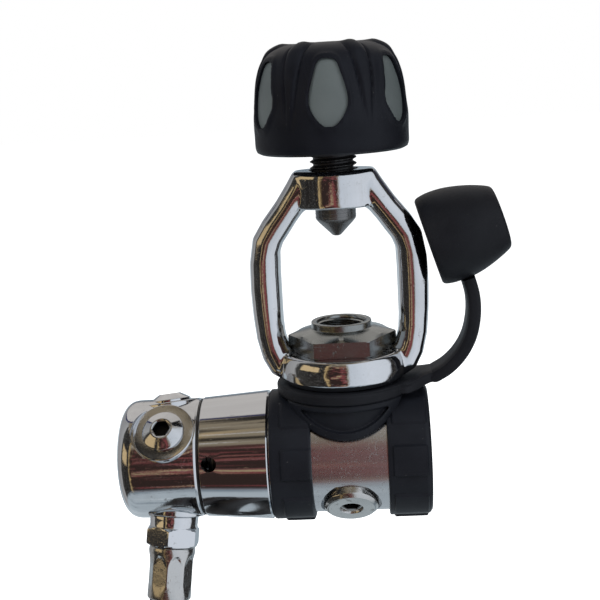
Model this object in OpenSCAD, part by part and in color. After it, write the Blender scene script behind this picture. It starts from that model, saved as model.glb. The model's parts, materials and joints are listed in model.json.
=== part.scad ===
// Balanced-piston first stage on a yoke clamp, with its swivel turret and one low-pressure hose.
// Frame: origin at the centre of the inlet's sealing face, +Z out of the inlet towards the clamp
// screw, +X along the body's axis away from the turret, the inlet filter's side up.

/* [Body] */
// Height of the inlet's sealing face above the top of the body
neck_h = 22.2; // [21:0.1:28]
// Radius of the body under the boot and in its window
body_r = 17.4; // [16.9:0.1:19]
// Radius of the barrel at the turret's seam
barrel_seam_r = 17.5; // [17.3:0.1:19]
// Radius of the barrel where it meets the boot
barrel_root_r = 18.9; // [18:0.1:21]
// Distance from the inlet's axis to the turret's seam
seam_d = 42.1; // [41:0.1:52]
// Distance from the inlet's axis to the plain end of the body
plain_end_d = 22; // [21:0.1:27]
// Radius of the spring chamber
chamber_r = 13.4; // [12:0.1:14]
// Distance from the inlet's axis to the wall at the spring chamber's end
chamber_wall_d = 14; // [13.5:0.1:16]
// Radius of the water holes into the spring chamber
water_hole_r = 2.2; // [1:0.1:2.2]
// Number of water holes
water_holes = 3; // [2:1:4]
// Radius of the high-pressure chamber
gauge_chamber_r = 5.5; // [5.2:0.1:6]
// Thread radius of the seat retainer
seat_thread_r = 9.5; // [8:0.1:11]

/* [Inlet retainer] */
// Radius of the inlet's spigot
spigot_r = 8.7; // [8:0.05:9]
// Height of the inlet's spigot
spigot_h = 2.2; // [1.5:0.1:3]
// Size of the retainer's hexagon across its flats
retainer_af = 27; // [24:0.5:30]
// Height of the retainer's hexagon
retainer_hex_h = 6.1; // [5:0.1:7]
// Radius of the retainer's thread in the body
retainer_thread_r = 10.5; // [9.8:0.1:11.2]
// Radius of the thread inside the inlet's mouth
mouth_r = 6.8; // [6:0.1:7]
// Radius of the gas passage
passage_r = 3; // [2:0.1:4]

/* [Yoke] */
// Height of the yoke's ring around the retainer
ring_h = 7.3; // [6:0.1:9]
// Radius of the yoke's ring at its widest
ring_r = 18.4; // [18:0.1:20]
// Width of the yoke's window at its widest
window_w = 32.8; // [32:0.2:40]
// Width over the yoke's bars
yoke_w = 51; // [49:0.2:58]
// Height of the yoke's top above the sealing face
yoke_top = 43.5; // [42:0.1:50]
// Height of the window's top above the sealing face
window_top = 32.8; // [31:0.1:33.5]
// Depth of the bars, front to back
bar_d = 13; // [10:0.1:16]
// Depth of the screw's boss, front to back
boss_d = 19; // [17:0.1:22]

/* [Clamp screw] */
// Radius of the clamp screw
screw_r = 6.6; // [5.5:0.1:7.4]
// Height of the screw's point above the sealing face
point_z = 24.6; // [24:0.1:26]
// Radius of the knob
knob_r = 21.5; // [20:0.1:24]
// Height of the knob
knob_h = 30; // [28:0.1:34]
// Gap between the yoke and the knob
knob_gap = 4.9; // [4:0.1:8]
// Number of grip inserts on the knob
inserts = 6; // [4:1:6]
// Width of a grip insert at its widest
insert_w = 10.4; // [8:0.2:12]

/* [Turret] */
// Radius of the turret
turret_r = 17.4; // [16.8:0.1:19]
// Length of the turret with its domed end
turret_l = 24.9; // [24.9:0.1:30]
// Length of the dome at the turret's end
dome_l = 12; // [8:0.1:13]
// Distance from the inlet's axis to where the ports' axes cross the body's axis
port_d = 50.5; // [50.3:0.1:54]
// Tilt of the ports away from the yoke
port_tilt = 6; // [0:0.5:6.5]
// Distance from the body's axis to the faces of the low-pressure ports
lp_face = 16.6; // [16:0.1:17.5]
// Radius of the low-pressure ports' flat faces
lp_flat_r = 9; // [7:0.1:9]
// Radius of the low-pressure port threads
lp_thread_r = 4.76; // [4:0.02:5]
// Hexagon key of the low-pressure plugs
lp_key = 4; // [3:0.5:5]
// Radius of the spindle that the turret turns on
spindle_r = 7.4; // [6.8:0.1:7.6]

/* [High-pressure ports] */
// Distance of the high-pressure ports from the inlet's axis
gauge_port_x = 0.5; // [0:0.1:1.5]
// Angle of the high-pressure ports below the horizontal
gauge_port_a = 43; // [30:1:50]
// Distance from the body's axis to the faces of the high-pressure ports
gauge_face = 15.6; // [15:0.1:16.5]
// Radius of the high-pressure ports' flat faces
gauge_flat_r = 8.7; // [7.5:0.1:9]
// Radius of the high-pressure port threads
gauge_thread_r = 5.56; // [5:0.02:6]
// Hexagon key of the high-pressure plugs
gauge_key = 5.56; // [4:0.02:6]

/* [Piston] */
// Travel of the piston from open to shut
piston_travel = 1.1; // [0.6:0.1:1.2]
// Thickness of the piston's head
head_t = 2.3; // [2:0.1:2.4]
// Radius of the piston's stem
stem_r = 4; // [3.5:0.1:4.4]
// Radius of the piston's gas bore
piston_bore_r = 2.3; // [1.5:0.1:2.8]
// Radius of the spring's wire
wire_r = 1.35; // [1:0.05:1.5]
// Radius of the spring to the middle of its wire
spring_r = 9.6; // [8.6:0.1:10.5]
// Number of turns of the spring
spring_turns = 6.5; // [5:0.5:8]

/* [Bumper boot and cap] */
// Thickness of the boot's bands
boot_t = 1.6; // [1.2:0.1:2.4]
// Width of the boot's band beside the barrel
band_w = 12; // [10:0.1:12.5]
// Height of the raised blocks on the bands
block_t = 0.5; // [0.3:0.1:1]
// Number of raised blocks round each band
blocks = 8; // [6:1:8]
// Thickness of the cap strap's ring
strap_ring_t = 3.6; // [3:0.1:3.8]
// Radius of the cap strap's ring
strap_ring_r = 19.6; // [18.5:0.1:20.5]
// Width of the cap's strap
strap_w = 11; // [8:0.5:14]
// Thickness of the cap's strap
strap_t = 4; // [3:0.1:4.5]
// Radius of the dust cap at its open rim
cap_r = 12.65; // [12:0.05:14]
// Depth of the dust cap
cap_l = 21.8; // [18:0.1:26]
// Wall of the dust cap
cap_wall = 3; // [2:0.1:3.5]

/* [Hose] */
// Size of the hose fitting's hexagon across its flats
hose_af = 14.29; // [12:0.01:16]
// Length of the hose fitting's round collar
collar_l = 3.7; // [3:0.1:6]
// Length of the hose fitting's hexagon
hose_hex_l = 5.5; // [4:0.1:8]
// Length of the crimped ferrule at the turret
ferrule_l = 15.7; // [12:0.1:15.7]
// Radius of the ferrules
ferrule_r = 6.4; // [6:0.1:7]
// Radius of the rubber hose
hose_r = 5.75; // [5:0.05:6]
// Radius of the coil to the middle of the hose
coil_r = 63; // [58:0.5:70]
// Size of the swivel nut's hexagon across its flats
nut_af = 17.5; // [16:0.1:19]
// Thread radius of the swivel nut
nut_thread_r = 7.14; // [6.5:0.01:7.4]

/* [Hidden] */
$fn = 96;

// Clearances
run_fit = 0.05;       // radial gap of a piece that turns or slides in its bore
seat_gap = 0.3;       // gap between pieces that meet when one of them moves
lay_gap = 0.05;       // gap between pieces that lie against each other for good
thread_gap = 0.04;    // radial gap in a made-up thread
eps = 0.01;           // overshoot of a cut

// Heights
axis_z = -neck_h - body_r;
hex_corner = retainer_af / 2 / cos(30);
hex_top_z = -spigot_h;
hex_bottom_z = hex_top_z - retainer_hex_h;
ring_top_z = hex_bottom_z - lay_gap;
ring_bottom_z = ring_top_z - ring_h;
strap_top_z = ring_bottom_z - lay_gap;
strap_bottom_z = strap_top_z - strap_ring_t;
neck_r = retainer_thread_r + 3;
retainer_bottom_z = -27.5;

// Stations along the body
nose_l = 3.1;
nose_r = chamber_r + 1.8;
nose_ring_r = 0.4;
cup_t = 1.5;
cup_r = nose_r + 1;
cup_wall_x = -seam_d - nose_l - lay_gap;
spindle_x = cup_wall_x - cup_t;
turret_x = -seam_d - 0.6;
turret_end_x = -seam_d - 0.5 - turret_l;
head_x = -seam_d - nose_l + seat_gap;
piston_tip_x = 6;
seat_x = piston_tip_x + piston_travel + seat_gap;
seat_bore_x = 12;
stem_seal_x = -10.4;
stem_wall_x = -7;
spindle_end_x = spindle_x - 13.8;
bolt_shoulder_l = 3.4;
washer_t = 0.4;
turret_floor_x = spindle_end_x - bolt_shoulder_l + washer_t + 2 * lay_gap;
bolt_head_r = 6;
bolt_shoulder_r = 4.2;
bolt_thread_r = 3.4;

// Low-pressure ports: angles up from the front, the last one carries the hose
lp_angles = [45, 105, 165, 225];
hose_angle = 285;
lp_depth = 7.8;
plug_head_r = 6.1;
plug_head_h = 2.5;
plug_flange_gap = 0.1;

// High-pressure ports
gauge_angles = [-gauge_port_a, 180 + gauge_port_a];
gauge_depth = 8.4;
gauge_plug_r = 6.5;
gauge_plug_h = 3.2;

// O-ring sections
small_ring_r = 0.7;
big_ring_r = 0.85;

// Boot
boot_r = body_r + lay_gap + boot_t;
band_x = -plain_end_d;
far_band_x = 11.5;
boot_end_x = plain_end_d + 1.8;
boot_lip_r = 14;
saddle_top_z = strap_bottom_z - lay_gap;
saddle_top_r = 18.7;
saddle_low_r = 17.1;
saddle_low_z = -30.4;

// Yoke outline, half of it, from the ring up to the boss
yoke_half = [[14, ring_top_z - 5.6], [18.2, ring_top_z - 4.6], [yoke_w / 2 - 2.2, ring_top_z - 0.2],
    [yoke_w / 2 - 0.5, 0], [yoke_w / 2, 10], [yoke_w / 2 - 0.3, 18], [yoke_w / 2 - 1.6, 25],
    [yoke_w / 2 - 4.6, 29.6], [13.2, yoke_top - 3.4], [11.2, yoke_top - 0.8], [10, yoke_top]];
window_half = [[hex_corner + 0.4, ring_top_z], [hex_corner + 0.5, -4.4],
    [window_w / 2, 2], [window_w / 2, 20.6], [window_w / 2 - 0.8, 23.4], [9.4, window_top - 0.5],
    [8.4, window_top]];

// Clamp screw
knob_z = yoke_top + knob_gap;
tip_r = screw_r - 0.85;
tip_l = 4.4;
cone_l = 4.4;
screw_top_z = knob_z + 12;
hub_r = 10;
knob_bolt_r = 3;
insert_t = 1.1;

// Dust cap, in its own frame: the rim's centre, the direction of its closed end, its strap's root
rim_x = yoke_w / 2 + 0.3;
rim_z = 21.3;
cap_tilt = 17;

// Cap strap: the middle of its thickness, from its bend up to the cap, and from the ring to its bend
strap_path = [[26.4, strap_top_z - 1.1], [29.8, -14.8], [32.8, -12], [35.2, -8.6], [36.9, -4.6],
    [37.9, 0.8], [37.7, 6], [36.4, 10.8]];
strap_root = [[17, strap_top_z - 1.8], [22.4, strap_top_z - 1.7], strap_path[0]];

// Hose, from the turret's ferrule to the coil, and from the coil to the far ferrule
coil_x = 3.5 - port_d;
coil_y = 2;
coil_z = axis_z - 128.4;
coil_half_w = 14.5;
lead_route = [for (p = [[-4.39, -10.81, -40.35], [-5.55, -13.7, -51.1], [-6.4, -19.4, -62.2],
    [-7.2, -28, -73.9], [-7.8, -37.5, -84], [-7.9, -46, -91], [-7.5, -52.6, -97]])
    p + [-port_d, 0, axis_z]];
tail_route = [for (p = [[8.8, 2, -191.4], [9.2, 16, -191.4], [9.5, 30, -191.4], [9.5, 44, -191.4]])
    p + [-port_d, 0, axis_z]];
far_x = 9.5 - port_d;
far_y = 44;
far_z = axis_z - 191.4;
far_ferrule_l = 16;
nut_l = 16.5;
nut_thread_l = 5.5;
hose_sides = 12;
// Where the collar, the hexagon and the ferrule stand, out from the body's axis
hex_s = lp_face + plug_flange_gap + collar_l;
ferrule_s = hex_s + hose_hex_l;
ferrule_end_s = ferrule_s + ferrule_l;

// ---- Helpers ----

// A shape turned about the body's axis from points of [radius, x]
module turned_x(points) {
    translate([0, 0, axis_z]) rotate([0, 90, 0]) rotate_extrude() polygon(points);
}

// A rod or a bore along the body's axis, from x0 up to x1
module rod_x(x0, x1, r) {
    translate([x0, 0, axis_z]) rotate([0, 90, 0]) cylinder(h = x1 - x0, r = r);
}

// A rod or a bore along Z, from z0 up to z1
module rod_z(z0, z1, r) {
    translate([0, 0, z0]) cylinder(h = z1 - z0, r = r);
}

// Local frame of a port: +Z points out of it and the origin lies on the body's axis
module at_port(x, angle, tilt = 0) {
    translate([x, 0, axis_z]) rotate([90 - angle, 0, 0]) rotate([0, -tilt, 0]) children();
}

module at_lp(angle) {
    at_port(-port_d, angle, port_tilt) children();
}

// A tube between two radii
module tube(h, r_out, r_in) {
    difference() {
        cylinder(h = h, r = r_out);
        translate([0, 0, -eps]) cylinder(h = h + 2 * eps, r = r_in);
    }
}

// An o-ring round Z: the radius to the middle of its section and the section's radius
module o_ring(r, section_r) {
    rotate_extrude() translate([r, 0]) circle(r = section_r, $fn = 24);
}

// A hexagon prism across its flats
module hexagon(h, af) {
    cylinder(h = h, r = af / 2 / cos(30), $fn = 6);
}

// A hexagon with both ends' corners chamfered
module chamfered_hex(h, af, cut) {
    corner = af / 2 / cos(30);
    intersection() {
        hexagon(h, af);
        rotate_extrude() polygon([[0, 0], [corner - cut, 0], [corner, cut * 0.58],
            [corner, h - cut * 0.58], [corner - cut, h], [0, h]]);
    }
}

function unit(v) = v / norm(v);
// A point of a smooth curve through four points, between the second and the third
function spline(a, b, c, d, t) = 0.5 * (2 * b + (c - a) * t + (2 * a - 5 * b + 4 * c - d) * t * t
    + (3 * b - a - 3 * c + d) * t * t * t);
function route_point(p, i) = p[max(0, min(len(p) - 1, i))];
// A route with two points more between each pair of its own
function smooth_route(p, parts = 2) = concat([for (i = [0 : len(p) - 2]) for (k = [0 : parts - 1])
    spline(route_point(p, i - 1), p[i], p[i + 1], route_point(p, i + 2), k / parts)],
    [p[len(p) - 1]]);
function heading(p, i) = unit(route_point(p, i + 1) - route_point(p, i - 1));

// A tube swept along a route: its rings stand square to the route, turned from one side vector
module swept(route, r, sides, side) {
    rings = [for (i = [0 : len(route) - 1]) let (t = heading(route, i), u = unit(cross(side, t)),
        v = cross(t, u)) for (k = [0 : sides - 1])
        route[i] + r * (cos(360 * k / sides) * u + sin(360 * k / sides) * v)];
    n = len(route);
    faces = concat([[for (k = [0 : sides - 1]) sides - 1 - k]],
        [[for (k = [0 : sides - 1]) (n - 1) * sides + k]],
        [for (i = [0 : n - 2]) for (k = [0 : sides - 1]) let (j = (k + 1) % sides)
            [i * sides + k, i * sides + j, (i + 1) * sides + j, (i + 1) * sides + k]]);
    polyhedron(points = rings, faces = [for (f = faces) [for (q = [len(f) - 1 : -1 : 0]) f[q]]],
        convexity = 6);
}

// ---- First stage ----

module main_body() {
    color("silver") difference() {
        union() {
            turned_x([[0, -chamber_wall_d], [nose_r, -seam_d - nose_l], [nose_r, -seam_d],
                [barrel_seam_r - 0.4, -seam_d], [barrel_seam_r, -seam_d + 0.4],
                [barrel_root_r, band_x - 0.7], [barrel_root_r - 0.5, band_x - lay_gap],
                [body_r, band_x - lay_gap], [body_r, plain_end_d - 1], [body_r - 1, plain_end_d],
                [0, plain_end_d]]);
            rod_z(axis_z, ring_bottom_z - lay_gap, neck_r);
        }
        rod_x(-seam_d - nose_l - 1, -chamber_wall_d, chamber_r);
        translate([-seam_d - nose_l / 2 - nose_ring_r - 0.05, 0, axis_z]) rotate([0, 90, 0])
            tube(2 * nose_ring_r + 0.1, nose_r + 1, nose_r - 2 * nose_ring_r);
        rod_x(-chamber_wall_d - 1, stem_wall_x + 1, stem_r + run_fit);
        rod_x(stem_seal_x - 1, stem_seal_x + 1, stem_r + 2 * small_ring_r - lay_gap);
        rod_x(stem_wall_x, seat_bore_x + 1, gauge_chamber_r);
        rod_x(seat_bore_x, plain_end_d + 1, seat_thread_r);
        rod_z(axis_z, 0, passage_r);
        rod_z(retainer_bottom_z - lay_gap, 0, retainer_thread_r);
        rod_z(ring_bottom_z - 2.2, 0, retainer_thread_r + 1.2);
        for (i = [0 : water_holes - 1])
            at_port(-seam_d + 3, 10.8 + 360 * i / water_holes)
                translate([0, 0, chamber_r - 2]) cylinder(h = 8, r = water_hole_r);
        for (a = gauge_angles)
            at_port(gauge_port_x, a) {
                translate([0, 0, gauge_face]) cylinder(h = 8, r = gauge_flat_r);
                translate([0, 0, gauge_face - gauge_depth]) cylinder(h = 9, r = gauge_thread_r);
                cylinder(h = gauge_face, r = 1.6);
                translate([0, 0, gauge_face - 1.2]) cylinder(h = 2, r = gauge_thread_r + 0.55);
            }
    }
}

module seat_retainer() {
    color("silver") difference() {
        union() {
            rod_x(seat_x, seat_bore_x + 0.1, gauge_chamber_r - 0.15);
            rod_x(seat_bore_x + 0.1, plain_end_d + 1.6, seat_thread_r - thread_gap);
            rod_x(plain_end_d + lay_gap, plain_end_d + 1.6, seat_thread_r + 2.6);
        }
        rod_x(seat_x - 1, seat_x + 2, gauge_chamber_r - 0.8);
        translate([plain_end_d - 2, 0, axis_z]) rotate([0, 90, 0]) hexagon(5, 8);
        translate([seat_bore_x + 1.9, 0, axis_z]) rotate([0, 90, 0])
            tube(2.1, seat_thread_r + 1, seat_thread_r - 2 * big_ring_r);
    }
}

module valve_seat() {
    color("white") rod_x(seat_x + lay_gap, seat_x + 2 - lay_gap, gauge_chamber_r - 0.8 - lay_gap);
}

module seat_retainer_o_ring() {
    color("black") translate([seat_bore_x + 2.95, 0, axis_z]) rotate([0, 90, 0])
        o_ring(seat_thread_r - big_ring_r - thread_gap, big_ring_r - lay_gap);
}

module stem_o_ring() {
    color("black") translate([stem_seal_x, 0, axis_z]) rotate([0, 90, 0])
        o_ring(stem_r + small_ring_r + 0.02, small_ring_r - 0.08);
}

module piston_cap() {
    color("silver") difference() {
        union() {
            rod_x(spindle_x, -seam_d - seat_gap, cup_r);
            rod_x(spindle_end_x, spindle_x + eps, spindle_r);
        }
        rod_x(cup_wall_x, 0, nose_r + thread_gap);
        rod_x(spindle_end_x + 4, 0, passage_r);
        rod_x(spindle_end_x - 1, spindle_end_x + 5, bolt_thread_r + thread_gap);
        translate([spindle_x - 7.6, 0, axis_z]) rotate([0, 90, 0]) tube(4.4, spindle_r + 1, 5.4);
        for (a = [0 : 90 : 270])
            at_port(spindle_x - 5.4, a + 30) cylinder(h = spindle_r + 1, r = 1.5);
        for (x = [spindle_x - 2.8, spindle_x - 11.4])
            translate([x, 0, axis_z]) rotate([0, 90, 0])
                tube(2 * small_ring_r + 0.3, spindle_r + 1, spindle_r - 2 * small_ring_r);
    }
}

module piston_cap_o_ring() {
    color("black") translate([-seam_d - nose_l / 2, 0, axis_z]) rotate([0, 90, 0])
        o_ring(nose_r - nose_ring_r, nose_ring_r - 0.02);
}

module turret_bolt() {
    color("silver") difference() {
        union() {
            translate([spindle_end_x - bolt_shoulder_l, 0, axis_z]) rotate([0, -90, 0])
                rotate_extrude() polygon([[0, 0], [bolt_head_r, 0], [bolt_head_r, 2.4],
                    [bolt_head_r - 1, 3.2], [0, 3.2]]);
            rod_x(spindle_end_x - bolt_shoulder_l - eps, spindle_end_x - lay_gap, bolt_shoulder_r);
            rod_x(spindle_end_x - 1, spindle_end_x + 3.4, bolt_thread_r);
        }
        translate([spindle_end_x - bolt_shoulder_l - 0.4, 0, axis_z]) rotate([0, -90, 0])
            hexagon(5, 6);
    }
}

module turret_washer() {
    color("goldenrod") translate([spindle_end_x - bolt_shoulder_l + lay_gap, 0, axis_z])
        rotate([0, 90, 0]) tube(washer_t, bolt_head_r, bolt_shoulder_r + lay_gap);
}

module turret_o_rings() {
    color("black") for (x = [spindle_x - 2.8, spindle_x - 11.4])
        translate([x + small_ring_r + 0.15, 0, axis_z]) rotate([0, 90, 0])
            o_ring(spindle_r - small_ring_r + 0.01, small_ring_r - 0.03);
}

module piston() {
    color("gainsboro") difference() {
        union() {
            rod_x(head_x, head_x + head_t, chamber_r - run_fit);
            rod_x(head_x, head_x + head_t + 1.4, spring_r - wire_r - 0.9);
            rod_x(head_x, piston_tip_x - 1.6, stem_r);
            translate([piston_tip_x - 1.6 - eps, 0, axis_z]) rotate([0, 90, 0])
                cylinder(h = 1.6 + eps, r1 = stem_r, r2 = piston_bore_r + 0.4);
        }
        rod_x(head_x - 1, piston_tip_x + 1, piston_bore_r);
        translate([head_x + 0.4, 0, axis_z]) rotate([0, 90, 0])
            tube(2 * small_ring_r + 0.1, chamber_r + 1, chamber_r - run_fit - 2 * small_ring_r);
    }
}

module piston_head_o_ring() {
    color("black") translate([head_x + 0.45 + small_ring_r, 0, axis_z]) rotate([0, 90, 0])
        o_ring(chamber_r - run_fit - small_ring_r, small_ring_r - 0.02);
}

module main_spring() {
    x0 = head_x + head_t + seat_gap + wire_r;
    x1 = -chamber_wall_d - seat_gap - wire_r;
    rings = round(spring_turns * 18);
    route = [for (i = [0 : rings]) let (a = 360 * spring_turns * i / rings)
        [x0 + (x1 - x0) * i / rings, spring_r * cos(a), axis_z + spring_r * sin(a)]];
    color("dimgray") swept(route, wire_r, 8, [1, 0, 0]);
}

module gauge_plugs() {
    color("silver") for (a = gauge_angles) at_port(gauge_port_x, a) difference() {
        union() {
            translate([0, 0, gauge_face + plug_flange_gap]) rotate_extrude()
                polygon([[0, 0], [gauge_plug_r, 0], [gauge_plug_r, gauge_plug_h - 0.9],
                    [gauge_plug_r - 1.1, gauge_plug_h], [0, gauge_plug_h]]);
            translate([0, 0, gauge_face - gauge_depth + 0.6])
                cylinder(h = gauge_depth, r = gauge_thread_r - thread_gap);
        }
        translate([0, 0, gauge_face + gauge_plug_h - 3.6]) hexagon(5, gauge_key);
        translate([0, 0, gauge_face - 1.2]) tube(1.3, gauge_thread_r + 1, gauge_thread_r - 0.6);
    }
}

module gauge_plug_o_rings() {
    color("black") for (a = gauge_angles) at_port(gauge_port_x, a)
        translate([0, 0, gauge_face - 0.55]) o_ring(gauge_thread_r - 0.02, 0.5);
}

// ---- Inlet ----

module inlet_retainer() {
    color("lightgray") difference() {
        union() {
            rod_z(retainer_bottom_z, hex_bottom_z + 1, retainer_thread_r - thread_gap);
            translate([0, 0, hex_bottom_z])
                chamfered_hex(retainer_hex_h, retainer_af, 1.6);
            rod_z(hex_top_z - 1, 0, spigot_r);
        }
        rod_z(retainer_bottom_z - 1, 1, passage_r + 1);
        rod_z(-13, 1, mouth_r - 0.6);
        rod_z(-5.5, 1, mouth_r);
        rod_z(-0.7, 1, mouth_r + 0.4);
        translate([0, 0, ring_bottom_z - 1.9]) tube(1.7, retainer_thread_r + 1,
            retainer_thread_r - 0.6);
    }
}

module retainer_o_ring() {
    color("black") translate([0, 0, ring_bottom_z - 1.05])
        o_ring(retainer_thread_r + 0.28, 0.78);
}

module inlet_filter() {
    color("peru") translate([0, 0, -13 + lay_gap])
        cylinder(h = 4.4, r1 = mouth_r - 0.7, r2 = mouth_r - 1.6);
}

module filter_clip() {
    color("dimgray") translate([0, 0, -8.4]) tube(0.8, mouth_r - 0.62, mouth_r - 2);
}

// The frame's outline is cut to a softer section by a wide flat drum along X
module yoke() {
    outline = concat(yoke_half, [for (i = [len(yoke_half) - 1 : -1 : 0])
        [-yoke_half[i].x, yoke_half[i].y]]);
    hole = concat(window_half, [for (i = [len(window_half) - 1 : -1 : 0])
        [-window_half[i].x, window_half[i].y]]);
    color("silver") difference() {
        union() {
            intersection() {
                rotate([90, 0, 0]) translate([0, 0, -boss_d / 2])
                    linear_extrude(boss_d) polygon(outline);
                union() {
                    translate([-yoke_w, -bar_d / 2, ring_bottom_z])
                        cube([2 * yoke_w, bar_d, yoke_top - ring_bottom_z]);
                    rod_z(window_top - 5, yoke_top, 12.4);
                }
                translate([0, 0, ring_bottom_z])
                    cylinder(h = yoke_top - ring_bottom_z, r = yoke_w / 2 + 0.3);
            }
            translate([0, 0, ring_bottom_z]) rotate_extrude()
                polygon([[0, 0], [ring_r - 1.6, 0], [ring_r - 0.4, 1.4], [ring_r, 3.4],
                    [ring_r - 0.4, ring_h - 1.4], [ring_r - 1.4, ring_h], [0, ring_h]]);
        }
        rotate([90, 0, 0]) translate([0, 0, -boss_d])
            linear_extrude(2 * boss_d) polygon(hole);
        rod_z(ring_bottom_z - 1, ring_top_z + 1, retainer_thread_r + 0.1);
        rod_z(window_top - 2, yoke_top + 1, screw_r + run_fit);
        rod_z(yoke_top - 0.8, yoke_top + 1, screw_r + 0.7);
    }
}

// ---- Clamp screw and knob ----

module yoke_screw() {
    color("dimgray") difference() {
        union() {
            rod_z(point_z + cone_l + tip_l, screw_top_z, screw_r);
            rod_z(point_z + cone_l, point_z + cone_l + tip_l + eps, tip_r);
            translate([0, 0, point_z]) cylinder(h = cone_l + eps, r1 = 1.2, r2 = tip_r - 0.5);
        }
        rod_z(screw_top_z - 9, screw_top_z + 1, knob_bolt_r + thread_gap);
        for (i = [0 : 2])
            translate([0, 0, point_z + cone_l + 0.9 + 1.2 * i]) tube(0.4, tip_r + 1, tip_r - 0.3);
    }
}

// Outside of the knob, from the bottom edge to the crown, as a share of its height
function knob_outline() = [[knob_r - 1.4, 0], [knob_r - 0.5, 0.5], [knob_r - 0.1, 1.8],
    [knob_r, knob_h * 0.12], [knob_r - 0.1, knob_h * 0.33], [knob_r - 0.5, knob_h * 0.46],
    [knob_r - 1.2, knob_h * 0.62], [knob_r - 2.3, knob_h * 0.77], [knob_r - 3.9, knob_h * 0.87],
    [knob_r - 6.2, knob_h * 0.935], [knob_r - 10, knob_h * 0.98], [knob_r - 14, knob_h]];

module knob_solid(inset = 0) {
    translate([0, 0, knob_z]) rotate_extrude()
        polygon(concat([[0, 0]], [for (p = knob_outline()) [p.x - inset, p.y]], [[0, knob_h]]));
}

// The cone that the grip inserts' pockets are cut down to
module pocket_core(grow = 0) {
    translate([0, 0, knob_z])
        cylinder(h = knob_h, r1 = knob_r - 0.3 + grow, r2 = knob_r - 4.1 - insert_t + grow);
}

// Tapered window of a grip insert, wider low down, cut from the knob's axis outwards
module insert_window(grow = 0) {
    w = insert_w / 2 + grow;
    rotate([90, 0, 0]) linear_extrude(knob_r + 3)
        polygon([[-0.34 * w, knob_z + 8 - grow], [0.34 * w, knob_z + 8 - grow],
            [0.72 * w, knob_z + 9.6], [w, knob_z + 13.2], [w, knob_z + 15.4],
            [0.5 * w, knob_z + 24.2], [0.36 * w, knob_z + 25.2 + grow],
            [-0.36 * w, knob_z + 25.2 + grow], [-0.5 * w, knob_z + 24.2], [-w, knob_z + 15.4],
            [-w, knob_z + 13.2], [-0.72 * w, knob_z + 9.6]]);
}

module knob_shell() {
    color([0.09, 0.09, 0.1]) difference() {
        knob_solid();
        translate([0, 0, knob_z - 1]) cylinder(h = 1.8, r = knob_r - 3);
        rod_z(knob_z - 1, knob_z + 18, hub_r);
        rod_z(knob_z, knob_z + knob_h + 1, 6.6);
        rod_z(knob_z + knob_h - 2.2, knob_z + knob_h + 1, 8.2);
        for (i = [0 : inserts - 1]) rotate([0, 0, 360 * i / inserts]) difference() {
            insert_window(0.1);
            pocket_core();
        }
    }
}

module knob_inserts() {
    color([0.3, 0.33, 0.34]) for (i = [0 : inserts - 1]) rotate([0, 0, 360 * i / inserts])
        intersection() {
            difference() {
                knob_solid(0.35);
                pocket_core(lay_gap);
            }
            insert_window();
        }
}

module knob_hub() {
    color("goldenrod") difference() {
        union() {
            rod_z(knob_z + 0.6, knob_z + 18 - lay_gap, hub_r - lay_gap);
        }
        rod_z(knob_z, screw_top_z + lay_gap, screw_r + thread_gap);
        rod_z(knob_z, knob_z + 20, knob_bolt_r + 0.2);
    }
}

module knob_bolt() {
    color("silver") difference() {
        union() {
            rod_z(screw_top_z - 8, knob_z + 18.1, knob_bolt_r);
            rod_z(knob_z + 18, knob_z + 22, knob_bolt_r + 2.2);
        }
        translate([0, 0, knob_z + 19.4]) hexagon(4, 5);
    }
}

module knob_cap() {
    color([0.12, 0.12, 0.13]) {
        rod_z(knob_z + knob_h - 2.2 + lay_gap, knob_z + knob_h - 0.2, 8.2 - lay_gap);
        translate([0, 0, knob_z + knob_h - 4.2]) tube(2.1, 6.5, 5.2);
    }
}

// ---- Turret and hose fitting ----

module turret() {
    steps = 12;
    power = 0.8;
    dome = [for (i = [0 : steps - 1]) let (a = 90 * i / steps)
        [turret_r * pow(cos(a), power), turret_end_x + dome_l * (1 - pow(sin(a), power))]];
    port_floor = spindle_r + 0.8;
    color("silver") difference() {
        union() {
            turned_x(concat([[0, turret_x], [turret_r - 0.5, turret_x], [turret_r, turret_x - 0.5]],
                dome, [[0, turret_end_x]]));
            for (a = concat(lp_angles, [hose_angle])) at_lp(a)
                translate([0, 0, port_floor]) cylinder(h = lp_face - port_floor, r = lp_flat_r);
        }
        for (a = concat(lp_angles, [hose_angle])) at_lp(a) {
            translate([0, 0, lp_face]) cylinder(h = 6, r = lp_flat_r + 0.3);
            translate([0, 0, lp_face - lp_depth]) cylinder(h = 9, r = lp_thread_r);
            translate([0, 0, lp_face - 1.2]) cylinder(h = 2, r = lp_thread_r + 0.45);
            translate([0, 0, spindle_r - 3]) cylinder(h = 5, r = 2.2);
        }
        rod_x(spindle_x - seat_gap, 0, cup_r + run_fit);
        rod_x(spindle_end_x - 0.4, 0, spindle_r + run_fit);
        rod_x(turret_end_x - 1, 0, bolt_shoulder_r + run_fit);
        rod_x(turret_end_x - 1, turret_floor_x, bolt_head_r + 0.3);
    }
}

module seam_ring() {
    color("black") translate([turret_x + lay_gap, 0, axis_z]) rotate([0, 90, 0])
        tube(0.4, cup_r + 0.95, cup_r + run_fit + 0.05);
}

module lp_plugs() {
    color("silver") for (a = lp_angles) at_lp(a) difference() {
        union() {
            translate([0, 0, lp_face + plug_flange_gap]) rotate_extrude()
                polygon([[0, 0], [plug_head_r, 0], [plug_head_r, 0.7],
                    [plug_head_r - 3, plug_head_h], [0, plug_head_h]]);
            translate([0, 0, lp_face - lp_depth + 0.6])
                cylinder(h = lp_depth, r = lp_thread_r - thread_gap);
        }
        translate([0, 0, lp_face + plug_head_h - 3.4]) hexagon(5, lp_key);
        translate([0, 0, lp_face - 1.2]) tube(1.3, lp_thread_r + 1, lp_thread_r - 0.5);
    }
}

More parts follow.
